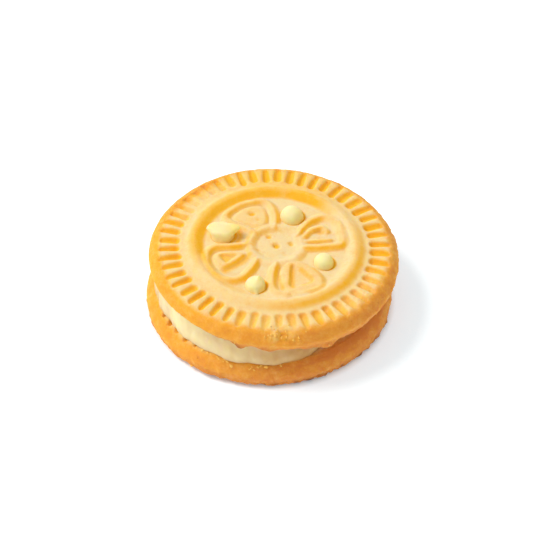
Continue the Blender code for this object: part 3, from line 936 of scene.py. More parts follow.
class NodePlan:
    """Adds nodes to a tree and joins them, from left to right."""

    def __init__(self, tree):
        self.tree = tree
        self.column = 0

    def add(self, kind, inputs=None, **settings):
        """A new node, with its settings made and its inputs fed."""
        made = self.tree.nodes.new(kind)
        self.column += 1
        made.location = (200 * self.column, 0)
        for key, value in settings.items():
            setattr(made, key, value)
        for key, value in (inputs or {}).items():
            self.feed(made.inputs[key], value)
        return made

    def feed(self, socket, value):
        """Joins a socket to another node, or gives it a plain value."""
        if isinstance(value, bpy.types.NodeSocket):
            self.tree.links.new(value, socket)
        elif isinstance(value, bpy.types.Node):
            self.tree.links.new(value.outputs[0], socket)
        else:
            socket.default_value = value

    def math(self, operation, *values):
        """The result of one sum."""
        made = self.add("ShaderNodeMath", operation=operation)
        for socket, value in zip(made.inputs, values):
            self.feed(socket, value)
        return made.outputs[0]

    def mix_colour(self, factor, first, second):
        """The first colour where the factor is 0 and the second where it is 1."""
        made = self.add("ShaderNodeMix", data_type="RGBA")
        self.feed(made.inputs[0], factor)
        self.feed(made.inputs[6], first)
        self.feed(made.inputs[7], second)
        return made.outputs[2]

    def length(self, first, second):
        """The length of a flat vector from its two parts."""
        squares = [self.math("MULTIPLY", part, part) for part in (first, second)]
        return self.math("SQRT", self.math("ADD", *squares))

    def falling(self, value, low, high):
        """1 up to low, falling smoothly to 0 at high."""
        return self.math("SUBTRACT", 1.0, self.ramp(value, low, high))

    def ramp(self, value, low, high, smooth=True):
        """0 up to low, rising to 1 at high."""
        made = self.add("ShaderNodeMapRange", {"Value": value, "From Min": low, "From Max": high})
        made.interpolation_type = "SMOOTHSTEP" if smooth else "LINEAR"
        return made.outputs[0]


def node_group(name, kind, inputs, outputs):
    """The plan of a new node tree and its given values.

    Each input is (name, kind of socket, default or None) and each output (name, kind of socket).
    """
    tree = bpy.data.node_groups.new(name, kind)
    for label, socket, default in inputs:
        made = tree.interface.new_socket(name=label, in_out="INPUT", socket_type=socket)
        if default is not None:
            made.default_value = default
    for label, socket in outputs:
        tree.interface.new_socket(name=label, in_out="OUTPUT", socket_type=socket)
    plan = NodePlan(tree)
    start = tree.nodes.new("NodeGroupInput")
    return plan, start.outputs


def finish_group(plan, results):
    """Joins the results to a tree's outputs and returns the tree."""
    end = plan.tree.nodes.new("NodeGroupOutput")
    end.location = (200 * (plan.column + 1), 0)
    for label, value in results.items():
        plan.feed(end.inputs[label], value)
    return plan.tree


def grow_with(obj, tree, values):
    """Runs a geometry node tree on an object and keeps the result as a plain mesh."""
    modifier = obj.modifiers.new(tree.name, "NODES")
    modifier.node_group = tree
    sockets = {item.name: item for item in tree.interface.items_tree if item.in_out == "INPUT"}
    for label, value in values.items():
        modifier[sockets[label].identifier] = value
    obj.update_tag()
    return settle(obj)


# ---------------------------------------------------------------- geometry nodes


# How much a groove may differ from its neighbours: as shares, or in metres for its two ends.
GROOVE_CHANGES = (
    ("depth", -0.8, 0.8),
    ("sideways", -0.25, 0.25),
    ("inner end", -0.0012, 0.0012),
    ("outer end", -0.0014, 0.0008),
    ("width", -0.7, 0.7),
)


def own_change(plan, given, groove, low, high, offset):
    """One groove's own random value, the same all over that groove."""
    draw = plan.add("FunctionNodeRandomValue", data_type="FLOAT")
    plan.feed(draw.inputs["Min"], low)
    plan.feed(draw.inputs["Max"], high)
    plan.feed(draw.inputs["ID"], groove)
    plan.feed(draw.inputs["Seed"], plan.math("ADD", given["Seed"], offset))
    return plan.math("MULTIPLY", draw.outputs[1], given["Unevenness"])


def groove_half_width(plan, given, arc, along, change):
    """Half a groove's width, which narrows towards the rim."""
    narrowing = plan.math("SUBTRACT", 1.12, plan.math("MULTIPLY", along, given["Taper"]))
    share = plan.math("MULTIPLY", plan.math("MULTIPLY", given["Width"], 0.5),
                      plan.math("ADD", change["width"], 1.0))
    return plan.math("MULTIPLY", plan.math("MULTIPLY", arc, narrowing), share)


def past_its_ends(plan, given, radius, half, change):
    """How far a point lies past either end of its groove, or 0 between them."""
    begins = plan.math("ADD", given["Inner End"], change["inner end"])
    inner = plan.math("ADD", begins, half)
    ends = plan.math("ADD", given["Outer End"], change["outer end"])
    outer = plan.math("SUBTRACT", ends, plan.math("MULTIPLY", half, 0.8))
    either = plan.math("MAXIMUM", plan.math("SUBTRACT", inner, radius),
                       plan.math("SUBTRACT", radius, outer))
    return plan.math("MAXIMUM", either, 0.0)


def groove_tree():
    """Presses evenly spaced grooves with round ends into the moulded face of a biscuit."""
    plan, given = node_group(
        "Moulded Grooves", "GeometryNodeTree",
        [("Geometry", GEOMETRY, None), ("Grooves", WHOLE, GROOVES), ("Start", FLOAT, 0.0),
         ("Drift", FLOAT, 0.0), ("Inner End", FLOAT, 0.0186), ("Outer End", FLOAT, 0.0228),
         ("Depth", FLOAT, 0.001), ("Width", FLOAT, 0.6), ("Taper", FLOAT, 0.4),
         ("Unevenness", FLOAT, 0.2), ("Seed", WHOLE, 1), ("Material", MATERIAL, None)],
        [("Geometry", GEOMETRY)])
    spot = plan.add("ShaderNodeSeparateXYZ", {0: plan.add("GeometryNodeInputPosition")})
    x, y = spot.outputs[0], spot.outputs[1]
    radius = plan.length(x, y)
    angle = plan.math("ARCTAN2", y, x)
    drifted = plan.math("MULTIPLY", given["Drift"], plan.math("SINE", angle))
    straight = plan.math("SUBTRACT", angle, drifted)
    pitch = plan.math("DIVIDE", math.tau, given["Grooves"])
    phase = plan.math("DIVIDE", plan.math("SUBTRACT", straight, given["Start"]), pitch)
    nearest = plan.math("ROUND", phase)
    groove = plan.math("FLOORED_MODULO", nearest, given["Grooves"])
    change = {label: own_change(plan, given, groove, low, high, offset)
              for offset, (label, low, high) in enumerate(GROOVE_CHANGES)}

    arc = plan.math("MULTIPLY", radius, pitch)
    aside = plan.math("SUBTRACT", plan.math("SUBTRACT", phase, nearest), change["sideways"])
    across = plan.math("MULTIPLY", plan.math("ABSOLUTE", aside), arc)
    along = plan.ramp(radius, given["Inner End"], given["Outer End"], smooth=False)
    half = groove_half_width(plan, given, arc, along, change)
    past = past_its_ends(plan, given, radius, half, change)
    away = plan.math("DIVIDE", plan.length(across, past), half)

    wear = plan.add("GeometryNodeInputNamedAttribute", {"Name": "wear"}, data_type="FLOAT")
    pressed = plan.math("MULTIPLY", wear.outputs[0], plan.falling(away, 0.0, 1.12))
    # The groove's golden tone, kept as its groove field: partly the bake in the hollow, partly painted
    # shade.
    baked = plan.math("MULTIPLY", wear.outputs[0], plan.falling(away, 0.55, 1.15))
    shallower = plan.math("SUBTRACT", 1.15, plan.math("MULTIPLY", along, given["Taper"]))
    own_depth = plan.math("MULTIPLY", plan.math("ADD", change["depth"], 1.0), shallower)
    depth = plan.math("MULTIPLY", plan.math("MULTIPLY", given["Depth"], pressed), own_depth)
    offset = plan.add("ShaderNodeCombineXYZ", {2: plan.math("MULTIPLY", depth, -1.0)})
    kept = plan.add("GeometryNodeStoreNamedAttribute",
                    {"Geometry": given["Geometry"], "Name": "groove", "Value": baked},
                    data_type="FLOAT", domain="POINT")
    moved = plan.add("GeometryNodeSetPosition", {"Geometry": kept, "Offset": offset})
    real = plan.add("GeometryNodeRealizeInstances", {"Geometry": moved})
    done = plan.add("GeometryNodeSetMaterial", {"Geometry": real, "Material": given["Material"]})
    return finish_group(plan, {"Geometry": done})


def crumb_tree():
    """Scatters small angular crumbs where the surface under them is broken."""
    plan, given = node_group(
        "Loose Crumbs", "GeometryNodeTree",
        [("Geometry", GEOMETRY, None), ("Density", FLOAT, 100000.0), ("Smallest", FLOAT, 0.0001),
         ("Largest", FLOAT, 0.0003), ("Seed", WHOLE, 1), ("Material", MATERIAL, None)],
        [("Geometry", GEOMETRY)])
    broken = plan.add("GeometryNodeInputNamedAttribute", {"Name": "crumbly"}, data_type="FLOAT")
    spread = plan.add("GeometryNodeDistributePointsOnFaces",
                      {"Mesh": given["Geometry"],
                       "Density": plan.math("MULTIPLY", given["Density"], broken.outputs[0]),
                       "Seed": given["Seed"]})
    ball = plan.add("GeometryNodeMeshIcoSphere", {"Radius": 1.0, "Subdivisions": 2})
    turn = plan.add("FunctionNodeRandomValue", data_type="FLOAT_VECTOR")
    plan.feed(turn.inputs["Max"], (math.tau, math.tau, math.tau))
    plan.feed(turn.inputs["Seed"], given["Seed"])
    draw = plan.add("FunctionNodeRandomValue", data_type="FLOAT")
    plan.feed(draw.inputs["Seed"], plan.math("ADD", given["Seed"], 3))
    size = plan.add("ShaderNodeMapRange", {"Value": plan.math("POWER", draw.outputs[1], 2.5),
                                           "To Min": given["Smallest"], "To Max": given["Largest"]})
    squash = plan.add("FunctionNodeRandomValue", data_type="FLOAT_VECTOR")
    plan.feed(squash.inputs["Min"], (0.6, 0.6, 0.6))
    plan.feed(squash.inputs["Max"], (1.5, 1.5, 1.1))
    scale = plan.add("ShaderNodeVectorMath", {0: squash.outputs[0]}, operation="SCALE")
    plan.feed(scale.inputs["Scale"], size.outputs[0])
    placed = plan.add("GeometryNodeInstanceOnPoints",
                      {"Points": spread.outputs["Points"], "Instance": ball,
                       "Rotation": turn.outputs[0], "Scale": scale.outputs[0]})
    real = plan.add("GeometryNodeRealizeInstances", {"Geometry": placed})
    rough = plan.add("ShaderNodeTexNoise", {"Scale": 3500.0, "Detail": 1.0})
    centred = plan.add("ShaderNodeVectorMath", {0: rough.outputs["Color"], 1: (0.5, 0.5, 0.5)},
                       operation="SUBTRACT")
    push = plan.add("ShaderNodeVectorMath", {0: centred.outputs[0]}, operation="SCALE")
    plan.feed(push.inputs["Scale"], plan.math("MULTIPLY", given["Largest"], 0.35))
    torn = plan.add("GeometryNodeSetPosition", {"Geometry": real, "Offset": push.outputs[0]})
    done = plan.add("GeometryNodeSetMaterial", {"Geometry": torn, "Material": given["Material"]})
    return finish_group(plan, {"Geometry": done})


# ---------------------------------------------------------------- materials


def dough_grain_group():
    """The dry surface of baked dough: height, fine mottle and small dark specks."""
    plan, given = node_group(
        "Dough Grain", "ShaderNodeTree",
        [("Grain Size", FLOAT, 0.0004), ("Pores", FLOAT, 0.5), ("Shift", FLOAT, 0.0)],
        [("Height", FLOAT), ("Mottle", FLOAT), ("Specks", FLOAT)])
    where = plan.add("ShaderNodeTexCoord").outputs["Object"]
    moved = plan.add("ShaderNodeVectorMath", {0: where}, operation="ADD")
    plan.feed(moved.inputs[1], plan.add("ShaderNodeCombineXYZ", {0: given["Shift"]}))
    scale = plan.math("DIVIDE", 1.0, given["Grain Size"])
    fine = plan.add("ShaderNodeTexNoise", {"Vector": moved.outputs[0], "Scale": scale,
                                           "Detail": 3.0, "Roughness": 0.6})
    broad = plan.add("ShaderNodeTexNoise", {"Vector": moved.outputs[0], "Detail": 4.0,
                                            "Scale": plan.math("MULTIPLY", scale, 0.26)})
    cells = plan.add("ShaderNodeTexVoronoi", {"Vector": moved.outputs[0],
                                              "Scale": plan.math("MULTIPLY", scale, 0.45)})
    pores = plan.falling(cells.outputs["Distance"], 0.05, 0.28)
    chosen = plan.ramp(plan.add("ShaderNodeSeparateColor", {0: cells.outputs["Color"]}).outputs[0],
                       0.72, 0.80)
    pores = plan.math("MULTIPLY", plan.math("MULTIPLY", pores, chosen), given["Pores"])
    height = plan.math("SUBTRACT", plan.math("MULTIPLY", fine.outputs[0], 0.5), pores)
    dots = plan.add("ShaderNodeTexVoronoi", {"Vector": moved.outputs[0],
                                             "Scale": plan.math("MULTIPLY", scale, 0.2)})
    rare = plan.ramp(plan.add("ShaderNodeSeparateColor", {0: dots.outputs["Color"]}).outputs[1],
                     0.955, 0.965)
    specks = plan.math("MULTIPLY", rare, plan.falling(dots.outputs["Distance"], 0.04, 0.12))
    mottle = plan.math("ADD", plan.math("MULTIPLY", broad.outputs[0], 0.6),
                       plan.math("MULTIPLY", fine.outputs[0], 0.4))
    return finish_group(plan, {"Height": height, "Mottle": mottle, "Specks": specks})


def bake_tone_group():
    """How baked dough colours, from pale over golden and brown to scorched."""
    plan, given = node_group(
        "Bake Tone", "ShaderNodeTree",
        [("Pale", COLOUR, None), ("Golden", COLOUR, None), ("Brown", COLOUR, None),
         ("Scorched", COLOUR, None), ("Golden Amount", FLOAT, 0.0), ("Brown Amount", FLOAT, 0.0),
         ("Scorched Amount", FLOAT, 0.0), ("Mottle", FLOAT, 0.5), ("Specks", FLOAT, 0.0)],
        [("Colour", COLOUR), ("Roughness", FLOAT)])
    uneven = plan.math("MULTIPLY", plan.math("SUBTRACT", given["Mottle"], 0.5), plan.math(
        "ADD", 0.6, plan.math("MULTIPLY", given["Brown Amount"], 1.2)))
    golden = plan.add("ShaderNodeClamp", {0: plan.math("ADD", given["Golden Amount"], uneven)})
    brown = plan.add("ShaderNodeClamp", {0: plan.math("ADD", given["Brown Amount"], uneven)})
    tone = plan.mix_colour(golden, given["Pale"], given["Golden"])
    tone = plan.mix_colour(brown, tone, given["Brown"])
    dark = plan.add("ShaderNodeClamp", {0: plan.math("ADD", given["Scorched Amount"],
                                                     plan.math("MULTIPLY", given["Specks"], 0.4))})
    tone = plan.mix_colour(dark, tone, given["Scorched"])
    rough = plan.math("ADD", 0.62, plan.math("MULTIPLY", given["Mottle"], 0.25))
    return finish_group(plan, {"Colour": tone, "Roughness": rough})


def field(plan, name):
    """One of the values kept at the vertices of the mesh."""
    return plan.add("ShaderNodeAttribute", attribute_name=name).outputs["Fac"]


def new_material(name):
    """A new material, the plan of its nodes and its shader."""
    made = bpy.data.materials.new(name)
    made.use_nodes = True
    return made, NodePlan(made.node_tree), made.node_tree.nodes["Principled BSDF"]


def dough_material(name, looks, grain_size, shift, more_brown, with_fields):
    """Dry baked dough. Without fields it has one tone, as loose crumbs do."""
    made, plan, shader = new_material(name)
    dry = plan.add("ShaderNodeGroup", node_tree=shared_group("Dough Grain", dough_grain_group))
    dry.inputs["Grain Size"].default_value = grain_size
    dry.inputs["Shift"].default_value = shift
    dry.inputs["Pores"].default_value = 0.6
    tone = plan.add("ShaderNodeGroup", node_tree=shared_group("Bake Tone", bake_tone_group))
    for label, colour in (("Pale", looks.pale), ("Golden", looks.golden), ("Brown", looks.brown),
                          ("Scorched", looks.scorched)):
        tone.inputs[label].default_value = (*colour, 1.0)
    if with_fields:
        # Golden from the grooves and the mesh's golden field, both partly painted shade.
        golden = plan.math("MAXIMUM", field(plan, "groove"), field(plan, "golden"))
        plan.feed(tone.inputs["Golden Amount"], golden)
        # Brown: the brown field, the dough's own extra brown, and the painted shade deep in the
        # grooves.
        brown = plan.math("ADD", plan.math("ADD", field(plan, "brown"), more_brown),
                          plan.math("MULTIPLY", field(plan, "groove"), field(plan, "deep")))
        plan.feed(tone.inputs["Brown Amount"], brown)
        plan.feed(tone.inputs["Scorched Amount"], field(plan, "scorch"))
    else:
        tone.inputs["Golden Amount"].default_value = 0.75
        tone.inputs["Brown Amount"].default_value = more_brown
    plan.feed(tone.inputs["Mottle"], dry.outputs["Mottle"])
    plan.feed(tone.inputs["Specks"], dry.outputs["Specks"])
    plan.feed(shader.inputs["Base Color"], tone.outputs["Colour"])
    plan.feed(shader.inputs["Roughness"], tone.outputs["Roughness"])
    bumps = plan.add("ShaderNodeBump", {"Height": dry.outputs["Height"], "Strength": 0.4,
                                        "Distance": 0.0002})
    if with_fields:
        plan.feed(bumps.inputs["Strength"], plan.math("ADD", 0.3, plan.math(
            "MULTIPLY", field(plan, "brown"), 0.9)))
    plan.feed(shader.inputs["Normal"], bumps)
    shader.inputs["Specular IOR Level"].default_value = SHEEN
    shader.inputs["Subsurface Weight"].default_value = 0.6 if with_fields else 0.0
    shader.inputs["Subsurface Radius"].default_value = (1.0, 0.75, 0.12)
    shader.inputs["Subsurface Scale"].default_value = 0.0009
    return made


def cream_material(name, looks):
    """Smooth whipped cream, darker in the layer with painted shade, and tan at its edge: painted shade
    at the right, crust along its foot.
    """
    made, plan, shader = new_material(name)
    where = plan.add("ShaderNodeTexCoord").outputs["Object"]
    smear = plan.add("ShaderNodeTexNoise", {"Vector": where, "Scale": 260.0, "Detail": 3.0})
    fine = plan.add("ShaderNodeTexNoise", {"Vector": where, "Scale": 2200.0, "Detail": 2.0})
    # Painted shade: the layer mixes towards its darker colour.
    amount = plan.math("ADD", field(plan, "layer"),
                       plan.math("MULTIPLY", plan.math("SUBTRACT", smear.outputs[0], 0.5), 0.5))
    tone = plan.mix_colour(plan.add("ShaderNodeClamp", {0: amount}), (*looks.cream, 1.0),
                           (*looks.cream_in_shade, 1.0))
    tone = plan.mix_colour(field(plan, "warm"), tone, (*looks.cream_warm, 1.0))
    # Tan: painted shade at the right, crust along the foot.
    dried = plan.math("ADD", field(plan, "dried"), plan.math(
        "MULTIPLY", plan.math("SUBTRACT", smear.outputs[0], 0.5), field(plan, "layer")))
    plan.feed(shader.inputs["Base Color"], plan.mix_colour(
        plan.add("ShaderNodeClamp", {0: dried}), tone, (*looks.cream_tan, 1.0)))
    plan.feed(shader.inputs["Roughness"], plan.math(
        "ADD", 0.42, plan.math("MULTIPLY", smear.outputs[0], 0.2)))
    height = plan.math("ADD", smear.outputs[0], plan.math("MULTIPLY", fine.outputs[0], plan.math(
        "ADD", 0.15, plan.math("MULTIPLY", field(plan, "layer"), 0.35))))
    plan.feed(shader.inputs["Normal"], plan.add(
        "ShaderNodeBump", {"Height": height, "Strength": 0.35, "Distance": 0.00015}))
    shader.inputs["Specular IOR Level"].default_value = SHEEN
    plan.feed(shader.inputs["Subsurface Weight"], plan.math(
        "SUBTRACT", 0.9, plan.math("MULTIPLY", field(plan, "foot"), 0.9)))
    shader.inputs["Subsurface Radius"].default_value = (1.0, 0.75, 0.2)
    shader.inputs["Subsurface Scale"].default_value = 0.0025
    return made


def shared_group(name, maker):
    """A node group, made the first time it is asked for."""
    return bpy.data.node_groups.get(name) or maker()


def shared_material(name, looks):
    """One of the biscuit's finishes, made the first time it is asked for."""
    if name in bpy.data.materials:
        return bpy.data.materials[name]
    if name in DOUGHS:
        return dough_material(name, looks, *DOUGHS[name])
    return cream_material(name, looks)


# ---------------------------------------------------------------- cream


def cream_layer_points(shape, cream):
    """The layer of cream between the lower biscuit's face and the tilted upper one."""
    low = shape.thickness / MM - 0.02
    edge_rows = [(cream.radius / MM + reach, height) for reach, height in CREAM_EDGE]
    rows = [(radius, 1.0) for radius in CREAM_MIDDLE] + edge_rows[::-1]
    rows += [(radius, 0.0) for radius in reversed(CREAM_MIDDLE)]
    points, faces = turned_mesh(rows, CREAM_COLUMNS)
    x, y, part = points.T.copy()
    radius = np.hypot(x, y)
    angle = np.arctan2(y, x)
    wavy = grain(np.stack([x, y, part * 2.0], axis=1), 4.0, 5.0, 2)
    small = grain(np.stack([x, y, part * 3.0], axis=1), 1.2, 6.0, 2)
    outward = cream_outward(cream, angle, part, 1.6 * wavy + 0.6 * small)
    radius = radius + smoothstep(18.0, 21.5, radius) * outward
    x, y = radius * np.cos(angle), radius * np.sin(angle)
    slope = math.tan(shape.upper_tilt)
    top = shape.upper_height / MM - slope * (x - shape.upper_shift / MM)
    top = top + shape.rim_lift / MM * rim_lift(angle, radius) + 0.03
    z = low + part * (top - low)
    z = z - 0.45 * smoothstep(20.8, 22.6, radius) * (1.0 - smoothstep(0.0, 0.25, part))
    fields = {
        # The layer's painted shade, lighter at the front left.
        "layer": 0.9 - 0.4 * bump(angle, *CREAM_LESS_SHADE),
        "dried": cream_tan_and_shade(angle, part, small),
        "foot": 1.0 - smoothstep(0.08, 0.3, part),
    }
    return np.stack([x, y, z], axis=1), faces, fields


def cream_outward(cream, angle, part, waves):
    """How far the cream's edge was squeezed out, or stayed back, at a share of its height."""
    outward = cream.waviness / MM * waves
    back_off = np.maximum(
        bump(angle, *CREAM_BACK_OFF_RIGHT), 1.35 * bump(angle, *CREAM_BACK_OFF_FRONT))
    outward -= cream.recess / MM * back_off
    outward += cream.lip / MM * bump(angle, *CREAM_LIP) * (1.0 - smoothstep(0.1, 0.8, part))
    outward += 0.35 * bump(angle, *CREAM_BULGE) * smoothstep(0.4, 1.0, part)
    return outward


def cream_tan_and_shade(angle, part, small):
    """How tan the cream's edge is: painted shade most at the right, where it lies back in the upper
    biscuit's shade, crust along its foot, a little at its top and at the left.
    """
    dried = 1.05 * bump(angle, *CREAM_SHADE_RIGHT) + 0.12 * (1.0 - smoothstep(0.0, 0.3, part))
    crusted = 0.35 + 0.65 * bump(angle, *CREAM_CRUSTED)
    dried = dried + crusted * (0.45 + 0.5 * small) * (1.0 - smoothstep(0.02, 0.14, part))
    dried = dried + 0.12 * smoothstep(0.75, 1.0, part) + 0.42 * bump(angle, *CREAM_TAN_LEFT)
    return np.clip(dried, 0.0, 1.0)


def egg_form(x, y, z, around, angle):
    """A whole bead, a little fuller at the left and the right."""
    wide = 1.0 + 0.04 * bump(angle, 200.0, 80.0) + 0.05 * bump(angle, 350.0, 40.0)
    return x * wide, y, z + 0.02 * bump(angle, 160.0, 90.0) * around * (z > 0.0)


def torn_form(x, y, z, around, angle):
    """A bead torn off: flat and uneven on top, with a rim that has five soft corners."""
    lid, lid_radius, roundness = 0.72, 0.694, 1.35
    rim = (np.abs(np.cos(angle)) / 1.28) ** roundness + (np.abs(np.sin(angle)) / 0.82) ** roundness
    rim = rim ** (-1.0 / roundness) * (1.0 + 0.05 * np.sin(5 * angle + 0.6))
    drawn = smoothstep(0.15, lid, z)
    wide = (1.0 - drawn) * (0.94 + 0.03 * np.cos(5 * angle)) + drawn * rim / lid_radius
    uneven = 0.06 * np.sin(3 * angle + 0.8) + 0.08 * np.abs(np.cos(angle)) ** 3
    inside = np.clip(around / lid_radius, 0.0, 1.0)
    z = np.where(z > lid, lid + 0.4 * (z - lid), z) + uneven * drawn * inside**2
    return x * wide, y * wide, z


def peaked_form(x, y, z, around, angle):
    """A bead drawn to a leaning peak, with a tail at its front."""
    rise = np.clip(z, 0.0, 1.0)
    narrow = 1.0 - 0.28 * smoothstep(0.6, 1.0, rise) * (1.0 - 0.2 * np.cos(3 * angle))
    lean = smoothstep(0.5, 1.0, rise)
    x, y = x * narrow + 0.28 * lean, y * narrow + 0.12 * lean
    z = z + 0.27 * np.clip(1.0 - around / 0.5, 0.0, 1.0) ** 1.3
    tail = bump(angle, 278.0, 16.0) * smoothstep(0.5, 0.0, np.abs(z - 0.05))
    return x * (1.0 + 0.22 * tail), y * (1.0 + 0.22 * tail), z


def dome_form(x, y, z, around, angle):
    """A smooth bead with one fold low on its front."""
    rise = np.clip(z, 0.0, 1.0)
    fold = np.exp(-((rise - 0.2) / 0.08) ** 2) * bump(angle, 290.0, 90.0)
    return x * (1.0 + 0.07 * fold), y * (1.0 + 0.07 * fold), z


# What each bead's own form is and how full its side is: lower is fuller.
BEAD_FORMS = {
    "egg": (egg_form, 0.78),
    "torn": (torn_form, 0.9),
    "peaked": (peaked_form, 0.9),
    "dome": (dome_form, 0.78),
}


def bead_points(kind):
    """One bead of cream in the upper biscuit's own frame, its root sunk under the face."""
    cx, cy, rx, ry, height = BEADS[kind]
    own_form, fullness = BEAD_FORMS[kind]
    rows = []
    for turn in np.linspace(BEAD_TIP, BEAD_EDGE, BEAD_ROWS):
        rise = (math.cos(turn) - math.cos(BEAD_EDGE)) / (1.0 - math.cos(BEAD_EDGE))
        rows.append((math.sin(turn) / math.sin(BEAD_EDGE), rise**fullness))
    rows += BEAD_ROOT
    points, faces = turned_mesh(rows, BEAD_COLUMNS)
    x, y, z = points.T.copy()
    x, y, z = own_form(x, y, z, np.hypot(x, y), np.arctan2(y, x))
    shaped = np.stack([x * rx, y * ry, z * height], axis=1)
    uneven = grain(shaped + [cx, cy, 0.0], 1.8, 9.0, 2)
    shaped *= (1.0 + 0.035 * uneven)[:, None]
    return shaped + [cx, cy, BEAD_FOOT], faces


def bead_fields(kind, points):
    """A bead isn't layer cream; light comes through its foot and its right side."""
    cx, _, rx, _, _ = BEADS[kind]
    near_face = smoothstep(6.6, 5.4, points[:, 2])
    aside = np.clip((points[:, 0] - cx) / rx, 0.0, 1.0)
    return {
        "layer": np.zeros(len(points)),
        "warm": 0.3 * near_face + 0.55 * aside,
        "foot": smoothstep(6.1, 5.5, points[:, 2]),
    }


# ---------------------------------------------------------------- operators


def register_piece(obj, node):
    """Hangs a piece on the root body and hides the node of the model that it replaces."""
    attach(obj, "root")
    if node:
        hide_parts(node)


def press_grooves(obj, shape, own_values):
    """Presses the ring of moulded grooves into a biscuit's face."""
    grow_with(obj, shared_group("Moulded Grooves", groove_tree), {
        "Grooves": GROOVES, "Start": shape.groove_start, "Drift": shape.groove_drift,
        "Inner End": shape.groove_inner, "Outer End": shape.groove_outer, **own_values})


class BISCUIT_OT_lower(bpy.types.Operator):
    """Makes the lower biscuit with its grooved face up and its ragged browned foot"""

    bl_idname = "biscuit.lower"
    bl_label = "Lower Biscuit"

    def execute(self, context):
        shape = context.scene.biscuit_shape
        obj = LowerDough(shape).mesh("lower_biscuit")
        press_grooves(obj, shape, {
            "Depth": 0.9 * shape.groove_depth, "Width": 0.6 * shape.groove_width, "Taper": 0.1,
            "Unevenness": 0.3, "Seed": 21,
            "Material": shared_material("lower dough", context.scene.bake_looks)})
        register_piece(obj, "bottom_biscuit")
        return {"FINISHED"}


class BISCUIT_OT_upper(bpy.types.Operator):
    """Makes the upper biscuit with its grooves, ring and four-petal flower"""

    bl_idname = "biscuit.upper"
    bl_label = "Upper Biscuit"

    def execute(self, context):
        shape = context.scene.biscuit_shape
        obj = UpperDough(shape).mesh("upper_biscuit")
        press_grooves(obj, shape, {
            "Depth": shape.groove_depth, "Width": shape.groove_width, "Taper": shape.groove_taper,
            "Unevenness": 0.22, "Seed": 4,
            "Material": shared_material("upper dough", context.scene.bake_looks)})
        obj.data.transform(upper_frame(shape))
        register_piece(obj, "top_biscuit")
        return {"FINISHED"}


class BISCUIT_OT_cream(bpy.types.Operator):
    """Makes the cream layer and the four beads that come up through the upper biscuit"""

    bl_idname = "biscuit.cream"
    bl_label = "Cream"

    def execute(self, context):
        scene = context.scene
        shape = scene.biscuit_shape
        finish = shared_material("whipped cream", scene.bake_looks)
        layer = plain_mesh("cream_layer", *cream_layer_points(shape, scene.cream_shape))
        layer.data.materials.append(finish)
        register_piece(layer, "cream_filling")
        for kind in BEADS:
            points, faces = bead_points(kind)
            bead = plain_mesh(f"cream_bead_{kind}", points, faces, bead_fields(kind, points))
            bead.data.transform(upper_frame(shape))
            bead.data.materials.append(finish)
            register_piece(bead, "cream_filling")
        return {"FINISHED"}


class BISCUIT_OT_crumbs(bpy.types.Operator):
    """Scatters loose crumbs over the broken and worn places of both biscuits"""

    bl_idname = "biscuit.crumbs"
    bl_label = "Crumbs"

    def execute(self, context):
        scene = context.scene
        crumbs = scene.crumb_settings
        for number, source in enumerate(("upper_biscuit", "lower_biscuit")):
            name = source.replace("biscuit", "crumbs")
            obj = bpy.data.objects.new(name, bpy.data.objects[source].data.copy())
            scene.collection.objects.link(obj)
            grow_with(obj, shared_group("Loose Crumbs", crumb_tree), {
                "Density": crumbs.density, "Smallest": crumbs.smallest, "Largest": crumbs.largest,
                "Seed": crumbs.seed + number,
                "Material": shared_material("crumb dough", scene.bake_looks)})
            obj.data.shade_smooth()
            if not obj.data.polygons:
                raise RuntimeError("no crumbs were made on " + source)
            register_piece(obj, None)
        return {"FINISHED"}


class BISCUIT_OT_stage(bpy.types.Operator):
    """Sets the floor, the soft light and the camera"""

    bl_idname = "biscuit.stage"
    bl_label = "Stage"

    def execute(self, context):
        scene = context.scene
        stage = scene.stage_settings
        floor = lay_floor(scene)
        floor.data.materials.append(floor_material(stage))
        light_sky(scene, stage)
        light_key(scene, stage)
        scene.view_settings.view_transform = "Standard"
        scene.view_settings.look = "None"
        place_camera(scene)
        return {"FINISHED"}


def lay_floor(scene):
    """A wide flat floor a hair under the biscuit."""
    mesh = bpy.data.meshes.new("floor")
    corners = [(-1, -1), (1, -1), (1, 1), (-1, 1)]
    mesh.from_pydata([(x * FLOOR_HALF, y * FLOOR_HALF, 0) for x, y in corners], [], [(0, 1, 2, 3)])
    floor = bpy.data.objects.new("floor", mesh)
    floor.location.z = -FLOOR_DROP
    scene.collection.objects.link(floor)
    return floor


def floor_material(stage):
    """Pale and matt, giving off a cool light that is dimmer in a ring under the biscuit's foot, a
    painted contact shadow.
    """
    finish, plan, shader = new_material("floor")
    shader.inputs["Base Color"].default_value = (*stage.floor, 1.0)
    shader.inputs["Roughness"].default_value = 0.9
    shader.inputs["Specular IOR Level"].default_value = 0.0
    shader.inputs["Emission Color"].default_value = (*GLOW_COLOUR, 1.0)
    where = plan.add("ShaderNodeTexCoord").outputs["Object"]
    away = plan.add("ShaderNodeVectorMath", {0: where}, operation="LENGTH").outputs["Value"]
    glow = plan.add("ShaderNodeMapRange", {
        "Value": away, "From Min": GLOW_RISES, "From Max": GLOW_FULL, "To Min": CONTACT_SHADOW_GLOW})
    plan.feed(shader.inputs["Emission Strength"], plan.math("MULTIPLY", stage.floor_glow, glow))
    return finish


def light_sky(scene, stage):
    """Even warm light from all round."""
    world = bpy.data.worlds.new("soft sky")
    world.use_nodes = True
    background = world.node_tree.nodes["Background"]
    background.inputs["Strength"].default_value = stage.sky_strength
    background.inputs["Color"].default_value = (*SKY_COLOUR, 1.0)
    scene.world = world


def light_key(scene, stage):
    """Soft light from high at the left."""
    lamp = bpy.data.lights.new("key", "SUN")
    lamp.energy = stage.key_strength
    lamp.angle = LIGHT_ANGLE
    lamp.color = LIGHT_COLOUR
    key = bpy.data.objects.new("key", lamp)
    key.rotation_euler = Vector(LIGHT_TRAVEL).to_track_quat("-Z", "Y").to_euler()
    scene.collection.objects.link(key)


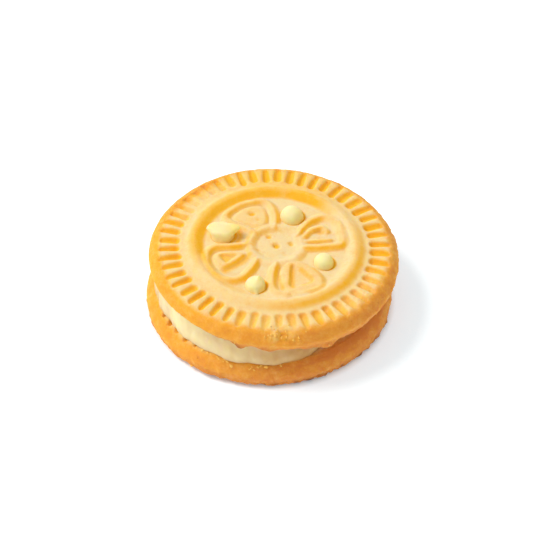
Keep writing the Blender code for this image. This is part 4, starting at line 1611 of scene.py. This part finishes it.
def place_camera(scene):
    """A long lens, looking down about 45 degrees from the front."""
    back = Vector((0.0, -math.cos(CAMERA_ELEVATION), math.sin(CAMERA_ELEVATION)))
    level_right = Vector((1.0, 0.0, 0.0))
    level_up = back.cross(level_right)
    right = level_right * math.cos(CAMERA_ROLL) + level_up * math.sin(CAMERA_ROLL)
    up = level_up * math.cos(CAMERA_ROLL) - level_right * math.sin(CAMERA_ROLL)
    eye = Vector(CAMERA_TARGET) + right * TARGET_RIGHT - up * TARGET_DOWN + back * CAMERA_DISTANCE
    camera = bpy.data.cameras.new("camera")
    camera.sensor_width = SENSOR_WIDTH
    camera.lens = SENSOR_WIDTH * FOCAL_PIXELS / VIEW_PIXELS
    camera.clip_start = 0.01
    obj = bpy.data.objects.new("camera", camera)
    obj.matrix_world = Matrix((
        (right.x, up.x, back.x, eye.x),
        (right.y, up.y, back.y, eye.y),
        (right.z, up.z, back.z, eye.z),
        (0.0, 0.0, 0.0, 1.0)))
    scene.collection.objects.link(obj)
    scene.camera = obj


class BISCUIT_PT_panel(bpy.types.Panel):
    """Lists the biscuit's settings and pieces"""

    bl_idname = "BISCUIT_PT_panel"
    bl_label = "Cream Sandwich Biscuit"
    bl_space_type = "VIEW_3D"
    bl_region_type = "UI"
    bl_category = "Biscuit"

    def draw(self, context):
        layout = self.layout
        for name, group in SETTINGS.items():
            box = layout.box()
            box.label(text=group.__doc__)
            for setting in group.__annotations__:
                box.prop(getattr(context.scene, name), setting)
        for operator in OPERATORS:
            layout.operator(operator.bl_idname)


OPERATORS = (
    BISCUIT_OT_stage,
    BISCUIT_OT_lower,
    BISCUIT_OT_upper,
    BISCUIT_OT_cream,
    BISCUIT_OT_crumbs,
)
CLASSES = (*SETTINGS.values(), *OPERATORS, BISCUIT_PT_panel)


def register():
    """Registers the classes and hangs the settings on the scene."""
    for made in CLASSES:
        bpy.utils.register_class(made)
    for name, group in SETTINGS.items():
        setattr(bpy.types.Scene, name, bpy.props.PointerProperty(type=group))


def unregister():
    """Takes the settings and the classes away again."""
    for name in SETTINGS:
        delattr(bpy.types.Scene, name)
    for made in reversed(CLASSES):
        bpy.utils.unregister_class(made)


def main():
    """Builds the biscuit and its stage."""
    register()
    bpy.ops.biscuit.stage()
    bpy.ops.biscuit.lower()
    bpy.ops.biscuit.upper()
    bpy.ops.biscuit.cream()
    bpy.ops.biscuit.crumbs()


if __name__ == "__main__":
    main()
